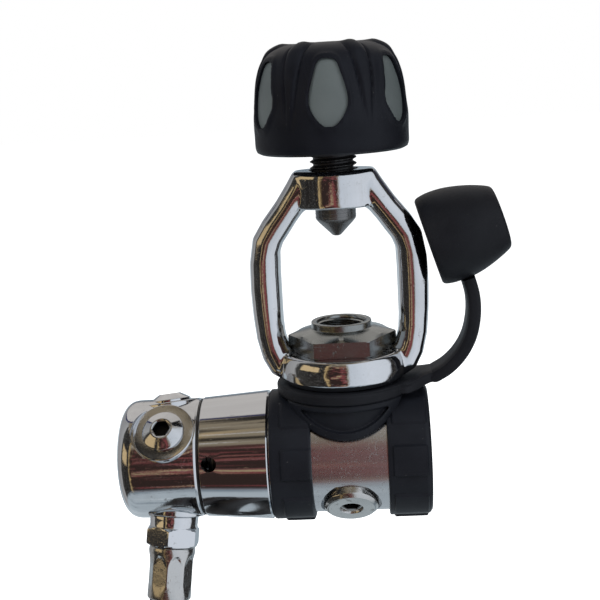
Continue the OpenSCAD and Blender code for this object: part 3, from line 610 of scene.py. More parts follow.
# %% The hose's route, in millimetres
HOSE_R = 5.75
LEAD = [(-54.89, -10.81, -79.95), (-56.05, -13.7, -90.7), (-56.9, -19.4, -101.8), (-57.7, -28, -113.5),
        (-58.3, -37.5, -123.6), (-58.4, -46, -130.6), (-58, -52.6, -136.6)]
TAIL = [(-41.7, 2, -231), (-41.3, 16, -231), (-41, 30, -231), (-41, 44, -231)]
COIL_Y, COIL_Z, COIL_R = 2, -168, 63
COIL_X, COIL_PITCH = -58, 12.2
COIL_FROM, COIL_TO = 150, 630
EASE, COIL_STEP = 12, 6


def coil_point(angle):
    """A place on the coil, which moves along the body as it turns."""
    turn = math.radians(angle)
    along = COIL_X + COIL_PITCH * (angle - COIL_FROM) / 360
    return (along, COIL_Y + COIL_R * math.cos(turn), COIL_Z + COIL_R * math.sin(turn))


def smooth_line(points, parts):
    """A smooth line through points, with a few steps between each pair."""
    line = []
    for i in range(len(points) - 1):
        a, b, c, d = (Vector(points[min(max(i + k, 0), len(points) - 1)]) for k in (-1, 0, 1, 2))
        for k in range(parts):
            t = k / parts
            line.append(0.5 * (2 * b + (c - a) * t + (2 * a - 5 * b + 4 * c - d) * t * t
                               + (3 * b - a - 3 * c + d) * t ** 3))
    return line + [Vector(points[-1])]


turns = [coil_point(a) for a in range(COIL_FROM + EASE, COIL_TO - EASE + 1, COIL_STEP)]
hose_line = [p * MM for p in smooth_line(LEAD + turns + TAIL, 2)]
hose_length = sum((b - a).length for a, b in zip(hose_line, hose_line[1:]))
print("hose points:", len(hose_line), "length:", round(hose_length, 3), "m")

# %% Hose
curve = bpy.data.curves.new("low_pressure_hose", "CURVE")
curve.dimensions = "3D"
curve.bevel_depth = HOSE_R * MM
curve.bevel_resolution = 6
curve.use_fill_caps = True
spline = curve.splines.new("POLY")
spline.points.add(len(hose_line) - 1)
for point, place in zip(spline.points, hose_line):
    point.co = (*place, 1)
spline.use_smooth = True
hose = placed("low_pressure_hose", curve)
curve.materials.append(finishes["hose_rubber"])
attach(hose, "turret_group")
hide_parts("hose_lead", "hose_coil", "hose_tail")
print("hose made")

# %% [markdown]
# ## The yoke
# The yoke is forged in one piece and plated: two bars, an arch that holds the clamp screw and a
# ring that the body hangs on. Its front starts as two loops, the outline and the window, bridged
# into a ribbon. Each point of the ribbon knows how far across the bar it lies, so pulling the
# middle forward gives a round bar with no flat. The ring and boss are turned or pressed on their
# own, and one moulding pass fuses the three with the soft corners that forging leaves.

# %% Yoke outline, the right half from the foot up to the boss
BAR_HALF, BAR_SIDE, ROUND = 6.5, 2.1, 2.05
OUTER = [(0, -17.0), (10, -17.0), (17.2, -16.7), (20.8, -14.6), (23.1, -10.2), (24.5, -4.2), (25.15, 3),
         (25.4, 10), (25.15, 18),
         (23.9, 25), (20.9, 29.8), (16.8, 35), (13.4, 40.1), (11.7, 42.9), (8.0, 43.4), (0, 43.4)]
INNER = [(0, -9.2), (7, -9.2), (12.2, -8.8), (15.2, -7.0), (16.3, -3.4), (16.6, 1), (16.6, 8), (16.6, 15),
         (16.4, 20.8),
         (15.4, 23.4), (13.4, 26.2), (11.2, 29.4), (9.1, 32.0), (7.4, 32.9), (4.0, 33.0), (0, 33.0)]
ACROSS = 15


def mirrored_loop(shape, half, mark, value):
    """A closed loop of edges from its right half, upright in the XZ plane, marked with a value."""
    points = half + [(-x, z) for x, z in reversed(half[1:-1])]
    corners = [shape.verts.new((x, 0, z)) for x, z in points]
    for corner in corners:
        corner[mark] = value
    return [shape.edges.new(pair) for pair in zip(corners, corners[1:] + corners[:1])]


bars = bmesh.new()
across = bars.verts.layers.float.new("across")
rails = mirrored_loop(bars, OUTER, across, -1.0) + mirrored_loop(bars, INNER, across, 1.0)
bmesh.ops.bridge_loops(bars, edges=rails)
rungs = [e for e in bars.edges if e.verts[0][across] != e.verts[1][across]]
bmesh.ops.subdivide_edges(bars, edges=rungs, cuts=ACROSS, use_grid_fill=True)
back = bmesh.ops.extrude_face_region(bars, geom=bars.faces[:], use_keep_orig=True)["geom"]
behind = {v for v in back if isinstance(v, bmesh.types.BMVert)}
for v in bars.verts:
    depth = BAR_SIDE + (BAR_HALF - BAR_SIDE) * (1 - abs(v[across]) ** ROUND) ** (1 / ROUND)
    v.co.y = depth if v in behind else -depth
bmesh.ops.recalc_face_normals(bars, faces=bars.faces)
print("yoke bars:", len(bars.faces), "faces")

# %% Yoke ring and boss, and the moulding
RING_TOP, RING_BOTTOM = -8.35, -17.1
ring = lathe([(10.6, RING_BOTTOM), (16.9, RING_BOTTOM, 0.6), (18.0, -15.4), (18.4, -13.0), (18.2, -10.6),
              (17.3, RING_TOP, 0.6), (10.6, RING_TOP)], 96, closed=True)
BOSS_R, BOSS_BACK, BOSS_MID, BOSS_TALL = 15.1, 5.6, 38.15, 10.5
BOSS_WIDE, BOSS_FLARE, BOSS_CHAMFER = 18.9, 3.6, 1.1
boss = bmesh.new()
stand_up = Matrix.Rotation(math.pi / 2, 4, "X")
bmesh.ops.create_grid(boss, x_segments=16, y_segments=10, size=0.5, matrix=stand_up)
far = bmesh.ops.extrude_face_region(boss, geom=boss.faces[:], use_keep_orig=True)["geom"]
rear = {v for v in far if isinstance(v, bmesh.types.BMVert)}
for v in boss.verts:
    z = BOSS_MID + BOSS_TALL * v.co.z
    x = v.co.x * (BOSS_WIDE + BOSS_FLARE * smooth_step(z, 33.5, 43.4))
    y = math.sqrt(BOSS_R ** 2 - x * x) - BOSS_BACK - BOSS_CHAMFER * smooth_step(z, 41.9, 43.6) ** 2
    v.co = (x, y if v in rear else -y, z)
bmesh.ops.recalc_face_normals(boss, faces=boss.faces)
forged = mould(join(bars, ring, boss), 0.4, 6)
hole = lathe([(0, 30), (6.68, 30), (6.68, 42.5), (7.5, 43.7), (7.5, 50), (0, 50)], 72)
nut_seat = lathe([(0, -20), (10.9, -20), (10.9, -2), (0, -2)], 72)
forged = carve(forged, [(join(hole, nut_seat), "DIFFERENCE")])
become(forged, "yoke_forging", "first_stage", "chrome_plate", ["yoke"], sharp=40.0)

# %% [markdown]
# ## The clamp screw
# The screw presses the tank valve against the inlet. Its thread is rolled, so the crests are
# round, and its point turns in the dimple on the valve's back. A real thread is a helix: here a
# zigzag wire is spun while it climbs one pitch a turn, which is just what a lathe does.

# %% Threads
THREAD_FORM = [(0.0, 0.0), (0.22, 0.05), (0.42, 0.8), (0.5, 1.0), (0.6, 1.0), (0.72, 0.6), (0.9, 0.05)]


def thread(radius, depth, low, high, pitch, steps=48):
    """An open helical thread surface round Z, from low to high: a wire climbs as it spins. A
    thread inside a hole has a negative depth."""
    shape = bmesh.new()
    turns = math.ceil((high - low) / pitch) + 1
    points = [(radius - depth + depth * h, low - pitch + pitch * (n + t))
              for n in range(turns) for t, h in THREAD_FORM]
    corners = [shape.verts.new((r, 0, z)) for r, z in points]
    for pair in zip(corners, corners[1:]):
        shape.edges.new(pair)
    bmesh.ops.spin(shape, geom=everything(shape), cent=(0, 0, 0), axis=(0, 0, 1), angle=math.tau,
                   steps=steps, dvec=(0, 0, pitch / steps))
    for height, way in ((low, (0, 0, -1)), (high, (0, 0, 1))):
        bmesh.ops.bisect_plane(shape, geom=everything(shape), plane_co=(0, 0, height), plane_no=way,
                               clear_outer=True)
    bmesh.ops.remove_doubles(shape, verts=shape.verts, dist=0.01)
    shape.normal_update()
    facing = sum(f.normal.dot(Vector((*f.calc_center_median().xy, 0))) for f in shape.faces)
    if (facing < 0) == (depth > 0):
        bmesh.ops.reverse_faces(shape, faces=shape.faces)
    return shape


# %% Clamp screw
POINT_Z, TIP_R, TIP_END, SCREW_R, SCREW_PITCH = 24.6, 5.75, 33.4, 6.6, 1.75
SCREW_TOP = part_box("yoke_screw")[1].z / MM
point = lathe([(0, POINT_Z), (1.0, POINT_Z, 0.5), (TIP_R - 0.45, 29.0, 0.5), (TIP_R, 29.7, 0.2),
               (TIP_R, TIP_END), (TIP_R - 0.9, 33.6),
               (TIP_R - 0.9, SCREW_TOP - 0.6), (0, SCREW_TOP - 0.6)], 72)
rolled = thread(SCREW_R, 0.95, TIP_END, SCREW_TOP, SCREW_PITCH)
tip_lines = thread(TIP_R + 0.04, 0.4, 29.9, TIP_END, 1.15)
become(join(point, rolled, tip_lines), "clamp_screw_threaded", "clamp_screw", "black_screw", ["yoke_screw"],
       sharp=50.0, outward=False)

# %% [markdown]
# ## The hand knob
# The knob is a stiff core under soft-touch rubber, with six harder inserts for the fingertips.
# Six ribs run between the inserts, fading towards the skirt and ending in small lumps on the
# shoulder, so that a wet glove can turn it. The grip is turned from its outline, the ribs and
# the raised rims of the windows are pushed out by a rule, and the windows are cut last, so that
# their edges stay crisp. The inserts are the same solid, a little smaller, kept inside a window.

# %% Knob outline and windows
KNOB = [(21.0, 49.1), (21.45, 50.4), (21.5, 53.0), (21.5, 57.7), (21.0, 61.6), (20.5, 66.0), (19.7, 69.9),
        (18.5, 73.2),
        (16.6, 75.7), (13.6, 77.3), (9.6, 78.1), (5.0, 78.35), (0, 78.4)]
WINDOW = [(0, 56.2), (1.5, 56.4), (3.4, 58.2), (4.9, 61.0), (5.2, 63.4), (4.7, 66.4), (3.6, 70.0),
          (2.7, 72.6), (1.6, 73.7), (0, 73.9)]
WINDOWS = 6


def soft_profile(points, parts):
    """A smooth outline of (radius, height) through points."""
    return [(p.x, p.y) for p in smooth_line([(r, z, 0) for r, z in points], parts)]


window_line = soft_profile(WINDOW, 4)


def rib_push(z, aside):
    """How far a rib stands out at a height and a distance aside from its middle."""
    fade = smooth_step(z, 55.5, 76.0)
    wide = 0.55 + 1.5 * fade
    crown = math.exp(-((aside / wide) ** 4)) * (0.12 + 0.36 * fade) * smooth_step(z, 54.5, 60)
    shoulder = smooth_step(z, 73.6, 76.2) * (1 - smooth_step(z, 77.5, 78.3))
    lump = math.exp(-((aside / 2.1) ** 2)) * 0.62 * shoulder
    groove_depth = 0.72 * fade ** 0.55 * (1 - smooth_step(z, 76.4, 77.8))
    groove = math.exp(-(((abs(aside) - wide - 0.55) / 0.42) ** 2)) * groove_depth
    return crown + lump - groove


def rim_push(z, aside):
    """The thin raised rim round a window."""
    nearest = min(math.hypot(abs(aside) - w, z - h) for w, h in window_line)
    return 0.5 * math.exp(-(((nearest - 0.75) / 0.55) ** 2))


grip = lathe([(0, 49.4), (6.7, 49.4), (6.7, 48.6, 0.2), (19.6, 48.4, 0.5)] + soft_profile(KNOB, 5), 384)
PLAIN_R, SKIRT_TOP = 8, 52
for v in grip.verts:
    r = v.co.xy.length
    if r > PLAIN_R and v.co.z > SKIRT_TOP:
        a = math.atan2(v.co.x, -v.co.y)
        step = math.tau / WINDOWS
        near_window = (a + step / 2) % step - step / 2
        near_rib = a % step - step / 2
        push = rib_push(v.co.z, near_rib * r) + rim_push(v.co.z, near_window * r)
        out = Vector((v.co.x, v.co.y, 0)).normalized()
        lean = smooth_step(v.co.z, 68.0, 78.0)
        way = out * (1 - 0.75 * lean) + Vector((0, 0, 0.85 * lean))
        v.co += way * push * min(1.0, (r - PLAIN_R) / 4)
print("grip:", len(grip.faces), "faces")


def window_plug(grow, inner):
    """A window's outline drawn out from a depth to outside the knob, one for each window."""
    shapes = []
    for n in range(WINDOWS):
        plug = bmesh.new()
        half = [(w + grow, z) for w, z in window_line if w > 0.01]
        loop = half + [(-w, z) for w, z in reversed(half)]
        corners = [plug.verts.new((x, -inner, z)) for x, z in loop]
        face = bmesh.ops.contextual_create(plug, geom=corners)["faces"]
        grown = bmesh.ops.extrude_face_region(plug, geom=face, use_keep_orig=True)["geom"]
        outer = [v for v in grown if isinstance(v, bmesh.types.BMVert)]
        bmesh.ops.translate(plug, verts=outer, vec=(0, inner - 30, 0))
        plug.transform(Matrix.Rotation(math.tau * n / WINDOWS, 4, "Z"))
        shapes.append(plug)
    return join(*shapes)


POCKET_R, INSERT_R, INSERT_GAP = 16.6, 16.8, 0.06
grip = carve(grip, [(window_plug(0.0, POCKET_R), "DIFFERENCE")])
become(grip, "knob_grip", "clamp_knob", "knob_rubber", ["knob_shell", "knob_cap"], sharp=34.0)

# %% Knob inserts
core = lathe([(0, 50)] + soft_profile([(r - 0.55, z - 0.1) for r, z in KNOB[1:]], 3), 144)
pads = carve(core, [(window_plug(-INSERT_GAP, INSERT_R), "INTERSECT")])
become(pads, "knob_finger_pads", "clamp_knob", "knob_insert", ["knob_inserts"], sharp=34.0)

# %% [markdown]
# ## Dust cap, strap and ring
# A rubber cap covers the inlet when the regulator is off the tank. Cap, strap and ring are one
# moulding: the ring sits round the neck under the yoke, and the strap is a thick band that holds
# the cap up beside the bar. The band is swept ring by ring along its bend, because its section
# changes: round corners, wide across, thin through.

# %% Sweeping a band


def sweep(line, half_wide, half_thick, power=4.0, sides=28, across=(0, 1, 0)):
    """A closed band along a line: each ring is a circle pressed towards a rectangle."""
    shape = bmesh.new()
    rings = []
    for i, place in enumerate(line):
        way = (Vector(line[min(i + 1, len(line) - 1)]) - Vector(line[max(i - 1, 0)])).normalized()
        side = Vector(across)
        thin = side.cross(way).normalized()
        made = bmesh.ops.create_circle(shape, segments=sides, radius=1.0, cap_ends=False)["verts"]
        w, t = (h(i / (len(line) - 1)) if callable(h) else h for h in (half_wide, half_thick))
        for v in made:
            k = (abs(v.co.x) ** power + abs(v.co.y) ** power) ** (-1 / power)
            v.co = Vector(place) + side * v.co.x * k * w + thin * v.co.y * k * t
        rings.append([e for e in shape.edges if e.verts[0] in made])
    for first, second in zip(rings, rings[1:]):
        bmesh.ops.bridge_loops(shape, edges=first + second)
    for end in (rings[0], rings[-1]):
        bmesh.ops.contextual_create(shape, geom=end)
    bmesh.ops.recalc_face_normals(shape, faces=shape.faces)
    return shape


# %% Strap
STRAP_THIN, STRAP_WIDE = 2.0, 5.5
STRAP = [(24.65, -17.75), (26.4, -16.8), (29.8, -14.8), (32.8, -12.0), (35.2, -8.6), (36.9, -4.6),
         (37.85, 0.8), (37.7, 6.0), (36.5, 10.9)]
strap_line = smooth_line([(x, 0, z) for x, z in STRAP], 5)


def round_start(place):
    """Thins the band's start to half a circle round the hinge."""
    near = (Vector(place) - Vector(strap_line[0])).length / STRAP_THIN
    return STRAP_THIN * math.sqrt(max(0.02, 1 - max(0.0, 1 - near) ** 2))


thickness = [round_start(p) for p in strap_line]
band = sweep(strap_line, lambda t: STRAP_WIDE - 0.4 * smooth_step(t, 0.1, 0.6),
             lambda t: thickness[round(t * (len(thickness) - 1))], 5.0)
become(band, "dust_cap_strap", "cap", "cap_rubber", ["cap_strap"])

# %% Cap
RIM_AT, CAP_WAY = (25.8, 0, 21.3), (0.9563, 0, 0.2924)
CAP_R, CAP_L, CAP_WALL = 12.65, 21.8, 3.0
cap_outside = [(CAP_R - 0.75, 0.02), (CAP_R - 0.1, 0.5), (CAP_R + 0.3, 1.6), (CAP_R + 0.62, 3.6),
               (CAP_R + 0.68, 6.6),
               (CAP_R + 0.45, 9.4), (CAP_R - 0.1, 12.2), (CAP_R - 1.0, 15.3), (CAP_R - 2.1, 18.2),
               (CAP_R - 3.2, 20.6),
               (CAP_R - 4.0, 21.5), (CAP_R - 5.0, 21.78)]
BORE_R, BORE_END, SWELL = CAP_R - CAP_WALL, CAP_L - CAP_WALL - 1, 0.16
cap_bore = [(BORE_R + 0.6, 0.02, 0.25), (BORE_R + 0.6, 1.0, 0.2), (BORE_R, 1.0, 0.2),
            (BORE_R, BORE_END, 1.2), (0, BORE_END)]
cap_shell = lathe([(0, CAP_L)] + list(reversed(soft_profile(cap_outside, 3))) + cap_bore, 120)
for v in cap_shell.verts:
    v.co.xy *= 1 + noise.noise(Vector(v.co) * 0.11) * SWELL / 12
become(cap_shell, "dust_cap_barrel", "cap", "cap_rubber", ["dust_cap"],
       place=axis_frame(RIM_AT, CAP_WAY, (0, 1, 0)))

# %% Ring round the neck
NECK_R, STRAP_TOP, STRAP_LOW = 13.5, -17.15, -20.3
collar = lathe([(NECK_R + 0.3, STRAP_LOW), (19.55, STRAP_LOW, 0.7), (19.6, STRAP_TOP, 0.8),
                (NECK_R + 0.3, STRAP_TOP)], 120, closed=True)
ROOT_FROM, ROOT_STEPS, ROOT_Z, ROOT_RISE, ROOT_WIDE, ROOT_THIN = 15.0, 26, -18.7, 1.75, 11.5, 1.75
root_places = [ROOT_FROM + t / 2 for t in range(ROOT_STEPS + 1)]
root_line = [(x, 0, ROOT_Z + ROOT_RISE * smooth_step(x, 17, 26.0)) for x in root_places]
root = sweep(root_line, lambda t: ROOT_WIDE - 6.1 * smooth_step(t, 0.15, 0.8),
             lambda t: ROOT_THIN * math.sqrt(max(0.02, 1 - smooth_step(t, 0.86, 1.0) ** 2)), 5.0)
become(join(collar, root), "strap_collar", "strap", "cap_rubber", ["strap_ring"])

# %% [markdown]
# ## The bumper boot
# A rubber boot guards the barrel's corners: two bands with low raised blocks for grip, joined by
# a saddle that rises to the neck round a crescent hollow. The bands are turned along the body
# and the blocks pushed out of them by a rule, with short slopes, as a mould leaves them. The
# saddle is a cone round the neck kept inside a disc, and the hollow is a smaller disc cut away.

# %% Boot bands
BODY_R, BOOT_R = 17.4, 19.05
BLOCKS, BLOCK_FIRST, BLOCK_WIDE, BLOCK_UP = 8, 8.0, 26.0, 0.62
BLOCK_SPANS = [(-18.6, -10.4), (13.0, 22.6)]


def block_push(x, angle):
    """How far a block stands out at a place along the body and an angle round it."""
    along = max(smooth_step(x, low - 0.2, low + 0.2) * (1 - smooth_step(x, high - 0.2, high + 0.2))
                for low, high in BLOCK_SPANS)
    step = 360.0 / BLOCKS
    off = abs((angle - BLOCK_FIRST + step / 2) % step - step / 2)
    return BLOCK_UP * along * (1 - smooth_step(off, BLOCK_WIDE / 2 - 0.7, BLOCK_WIDE / 2 + 0.7))


def fine_wire(points, gap):
    """Adds points along an outline so that no stretch of its outside is longer than gap."""
    line = []
    for (r0, x0), (r1, x1) in zip(points, points[1:]):
        parts = max(1, round(math.hypot(r1 - r0, x1 - x0) / gap)) if min(r0, r1) > BODY_R + 0.5 else 1
        line += [(r0 + (r1 - r0) * k / parts, x0 + (x1 - x0) * k / parts) for k in range(parts)]
    return line + [points[-1]]


def boot_band(profile):
    """A turned band with its blocks pushed out, laid along the body."""
    shape = lathe(fine_wire(profile, 0.4), 360)
    for v in shape.verts:
        r = v.co.xy.length
        if r > BOOT_R - 0.1:
            # In ALONG_X the shape's Z runs along the body, its X to the back and its Y upwards
            angle = math.degrees(math.atan2(v.co.y, -v.co.x)) % 360
            v.co.xy *= 1 + block_push(v.co.z, angle) / r
    shape.transform(TO_MM @ ALONG_X)
    return shape


IN = BODY_R + 0.05
left_band = boot_band([(IN, -21.9), (BOOT_R - 0.6, -21.9), (BOOT_R - 0.15, -21.75), (BOOT_R, -21.3),
                       (BOOT_R, -10.5), (BOOT_R - 0.15, -10.15),
                       (BOOT_R - 0.6, -10.0), (IN, -10.0), (IN, -21.9)])
right_band = boot_band([(IN, 11.5), (BOOT_R - 0.6, 11.5), (BOOT_R - 0.15, 11.65), (BOOT_R, 12.0),
                        (BOOT_R, 22.4), (BOOT_R - 0.3, 23.2),
                        (BOOT_R - 1.1, 23.8), (14.6, 23.8), (14.0, 23.5), (14.0, 22.3), (IN, 22.3),
                        (IN, 11.5)])

# %% Boot saddle
SADDLE_TOP, DISC_Z, DISC_R, HOLLOW_R = -20.35, -12.8, 18.2, 15.9


def disc(radius):
    """A long disc whose axis runs front to back, at the saddle's middle."""
    shape = rod(radius, -30, 30, 180)
    shape.transform(Matrix.Translation((0, 0, DISC_Z)) @ Matrix.Rotation(math.pi / 2, 4, "X"))
    return shape


def body_bar(radius):
    """A plain round bar along the body, to cut with."""
    shape = rod(radius, -40, 40, 180)
    shape.transform(TO_MM @ ALONG_X)
    return shape


cone = lathe([(0, SADDLE_TOP), (18.2, SADDLE_TOP), (18.75, SADDLE_TOP - 0.6, 0.4), (17.3, -31), (15.9, -38),
              (0, -38)], 180)
saddle = carve(cone, [(disc(DISC_R), "INTERSECT"), (body_bar(IN), "DIFFERENCE")])
inner_cone = lathe([(0, 0), (17.25, 0), (17.15, -22), (15.3, -34), (14.9, -40), (0, -40)], 180)
hollow = carve(disc(HOLLOW_R), [(inner_cone, "DIFFERENCE")])
hollow = carve(hollow, [(rod(30, SADDLE_TOP - 2.1, 0, 12), "DIFFERENCE"),
                        (body_bar(BODY_R + 0.9), "DIFFERENCE")])
saddle = carve(saddle, [(hollow, "DIFFERENCE"), (rod(NECK_R + 0.05, -60, 0, 96), "DIFFERENCE")])
boot = join(left_band, right_band, mould(saddle, 0.3, 2))
become(boot, "barrel_boot", "first_stage", "boot_rubber", ["bumper_boot"], sharp=38.0, outward=False)

# %% [markdown]
# ## The inlet retainer
# One big nut holds the yoke to the body and takes the tank's pressure: its top slopes from the
# spigot to the hexagon. It is turned as a round nut, then six flats are pressed into its rim,
# which leaves crisp corners. The bore is threaded for the filter's clip. Below the hexagon,
# where nothing shows, it keeps the frame's own shape.

# %% Retainer
SPIGOT_R, HEX_FLAT, HEX_LOW, HEX_TURN, NUT_END = 8.7, 13.5, -8.3, math.pi / 6, -12.7
nut = lathe([(6.25, -12.8), (6.25, -5.4), (6.85, -5.2), (6.85, -0.7, 0.15), (7.25, -0.02, 0.2),
             (SPIGOT_R, 0, 0.35), (SPIGOT_R, -1.9, 0.3),
             (9.7, -2.15, 0.2), (12.9, -3.05), (15.3, -3.7), (15.6, -3.95, 0.15), (15.6, -8.0, 0.2),
             (15.2, HEX_LOW), (10.4, HEX_LOW),
             (10.4, -12.8)], 180, closed=True)
press_flats(nut, 6, HEX_LOW - 0.1, -2.2, HEX_FLAT, phase=HEX_TURN)
mouth_thread = thread(6.45, -0.4, -5.2, -0.8, 1.0)
below = from_node("inlet_retainer")
bmesh.ops.bisect_plane(below, geom=everything(below), plane_co=(0, 0, NUT_END), plane_no=(0, 0, 1),
                       clear_outer=True)
become(join(nut, mouth_thread, below), "inlet_nut", "first_stage", "satin_nickel", ["inlet_retainer"],
       sharp=30.0, outward=False)

# %% [markdown]
# ## Port plugs
# Each spare low-pressure port is shut by a low cone with a hexagon socket, on a flat that a
# cutter left on the turret. The two big plugs under the body close the gauge ports. All are
# turned with the socket's wall already in the outline, and squaring that wall up makes it a
# hexagon, so no cut is needed. The sockets get painted shade: an attribute marks them, and the
# metal's recipe paints them near black.

# %% Plugs
LP_FACE, LP_ANGLES, HOSE_ANGLE, PORT_X, TILT = 16.6, (45, 105, 165, 225), 285, -50.5, 6
GAUGE_FACE, GAUGE_ANGLES, GAUGE_X = 15.6, (-43, 223), 0.5
SOCKET_FLOOR = -1.0


def key_socket(shape, wall, top, half_flat):
    """Squares a round socket wall up to a hexagon, and marks what lies inside it for painted shade."""
    # Painted shade: the socket's inside is marked so that the metal recipe paints it near black.
    grime = shape.verts.layers.float.new("grime")
    for v in shape.verts:
        if v.co.xy.length < wall + 0.05 and SOCKET_FLOOR < v.co.z < top:
            v[grime] = 1.0
            v.co.xy *= half_flat / math.cos(off_flat(v, 6)) / wall
    return shape


def at_ports(make, places):
    """One bmesh of a shape at each of several port frames, in millimetres."""
    shapes = []
    for frame_at in places:
        shape = make()
        shape.transform(TO_MM @ frame_at)
        shapes.append(shape)
    return join(*shapes)


def low_plug():
    shape = lathe([(0, 0.25), (2.2, 0.25), (2.5, 2.2), (2.85, 2.46, 0.12), (3.2, 2.46, 0.15),
                   (5.7, 0.98, 0.25),
                   (6.08, 0.7, 0.15), (6.08, 0.08), (4.7, 0.08), (4.7, -6.5), (0, -6.5)], 120)
    return key_socket(shape, 2.5, 2.3, 2.2)


def gauge_plug():
    shape = lathe([(0, -0.6), (2.5, -0.6), (2.75, 1.9), (3.05, 2.2), (3.3, 3.15, 0.2), (6.8, 3.2, 0.3),
                   (7.9, 2.2, 0.3), (7.9, 0.08), (5.5, 0.08), (5.5, -8), (0, -8)], 120)
    return key_socket(shape, 2.75, 2.0, 2.38)


low_places = [port_frame(PORT_X, a, TILT, LP_FACE) for a in LP_ANGLES]
become(at_ports(low_plug, low_places), "low_pressure_plugs", "turret_group", "chrome_plate", ["lp_plugs"],
       sharp=26.0, outward=False)
gauge_places = [port_frame(GAUGE_X, a, 0, GAUGE_FACE) for a in GAUGE_ANGLES]
become(at_ports(gauge_plug, gauge_places), "gauge_port_plugs", "first_stage", "crimped_steel",
       ["gauge_plugs"], sharp=26.0, outward=False)

# %% [markdown]
# ## The swivel turret
# The turret turns on the body's spindle, so that the hoses can leave in any direction. It is
# turned with a rounded end, and a Boolean is the cutter that sinks a round flat for each of its
# five ports, which leaves crisp arcs. A land stands in each flat, with a groove round it.

# %% Turret
TURRET_R, TURRET_X, TURRET_END, BOLT_PIT = 17.4, -42.7, -67.15, 6.35
DOME_L, DOME_POWER, PAD_R, GROOVE = 7.5, 0.62, 9.0, 0.3


def dome_point(degrees):
    """A place on the turret's rounded end: 0 at its side, 90 at its middle."""
    a = math.radians(degrees)
    return (TURRET_R * math.cos(a) ** DOME_POWER, TURRET_END + DOME_L * (1 - math.sin(a) ** DOME_POWER))


def port_pad():
    """The raised round land of one port, with its rounded rim and the hole the plug stands in."""
    return lathe([(4.75, -7), (PAD_R, -7), (PAD_R, 0, 0.35), (4.75, 0)], 96, closed=True)


def port_cutter():
    """What cuts the flat that a land stands in."""
    return rod(PAD_R + GROOVE, -GROOVE, 8)


dome = [dome_point(a) for a in range(0, 88, 4) if dome_point(a)[0] > BOLT_PIT + 0.3]
turret_shape = lathe([(14.6, TURRET_X), (TURRET_R - 0.35, TURRET_X, 0.2),
                      (TURRET_R, TURRET_X - 0.6, 0.3)] + dome
                     + [(BOLT_PIT, TURRET_END + 0.05), (BOLT_PIT, -65.2), (4.0, -65.2), (4.0, -60),
                        (7.45, -60),
                        (7.45, -47.5), (14.6, -47.5)], 160, closed=True)
turret_shape.transform(TO_MM @ ALONG_X)
ports = [port_frame(PORT_X, a, TILT, LP_FACE) for a in (*LP_ANGLES, HOSE_ANGLE)]
turret_shape = carve(turret_shape, [(at_ports(port_cutter, [port]), "DIFFERENCE") for port in ports])
turret_shape = join(turret_shape, at_ports(port_pad, ports))
become(turret_shape, "swivel_turret", "turret_group", "chrome_plate", ["turret"], sharp=30.0,
       outward=False)

# %% [markdown]
# ## Hose fitting and crimped ferrule
# The hose screws into the turret with a hexagon between a round collar and the ferrule, a steel
# sleeve that eight jaws crimp onto the hose. Each jaw leaves a long flat that ends in a pointed
# arch where the sleeve swells back to round, so the flats' depth fades with height.

# %% Fitting
FIT_R = FIT_FLAT = 7.145
hose_port = port_frame(PORT_X, HOSE_ANGLE, TILT, 0)
fitting = lathe([(0, 10.5), (4.6, 10.5), (4.7, 16.4), (6.2, 16.66), (FIT_R, 16.9, 0.25), (FIT_R, 18.0),
                 (FIT_R - 0.12, 19.6), (FIT_R, 20.35, 0.2), (7.5, 20.6), (8.2, 21.1, 0.25), (8.25, 21.5),
                 (8.25, 24.9), (8.2, 25.2, 0.25), (7.4, 25.75), (7.0, 25.9), (3.6, 25.9), (3.6, 39),
                 (0, 39)], 180)
press_flats(fitting, 6, 20.36, 25.91, FIT_FLAT, phase=HEX_TURN)
become(fitting, "hose_fitting_hexagon", "turret_group", "chrome_plate", ["hose_fitting"], place=hose_port,
       sharp=28.0, outward=False)

# %% Ferrules
FERRULE_R, CRIMP_R, FLAT_R, JAWS, FERRULE_OUT = 6.4, 6.05, 5.98, 8, 25.95
FAR_END = (-41, 60, -231)


def ferrule(length):
    """A crimped sleeve: round at both ends, eight pointed flats between."""
    heights = [1.9 + 0.45 * k for k in range(round((length - 5.2) / 0.45))]
    wall = [(3.75, 0.1), (5.9, 0.0), (6.75, 0.25, 0.3), (6.85, 1.3)]
    wall += [(6.85 - 0.45 * smooth_step(h, 1.3, 4.2), h) for h in heights]
    wall += [(FERRULE_R, length - 2.4), (FERRULE_R, length - 0.5, 0.25), (6.0, length, 0.15),
             (5.82, length),
             (5.82, length - 5), (3.75, length - 5)]
    shape = lathe(wall, 192, closed=True)
    half_jaw = math.pi / JAWS
    for v in shape.verts:
        r, h = v.co.xy.length, v.co.z
        if r > CRIMP_R:
            off = abs(off_flat(v, JAWS)) / half_jaw
            start = smooth_step(h - 2.2 - 3.2 * off ** 1.6, 0.0, 0.9)
            arch = start * (1 - smooth_step(h + 1.6 * off ** 1.6, length - 3.6, length - 2.4))
            chord = FLAT_R / math.cos(off * half_jaw)
            v.co.xy *= 1 + (min(chord, FERRULE_R + 0.02) / r - 1) * arch
    return shape


near_ferrule = ferrule(15.6)
near_ferrule.transform(Matrix.Rotation(math.pi / JAWS, 4, "Z"))
become(near_ferrule, "hose_ferrule_crimped", "turret_group", "crimped_steel", ["hose_ferrule"],
       place=port_frame(PORT_X, HOSE_ANGLE, TILT, FERRULE_OUT), sharp=26.0, outward=False)
become(ferrule(15.9), "far_ferrule_crimped", "turret_group", "crimped_steel", ["far_ferrule"],
       place=axis_frame(FAR_END, (0, -1, 0)), sharp=26.0, outward=False)
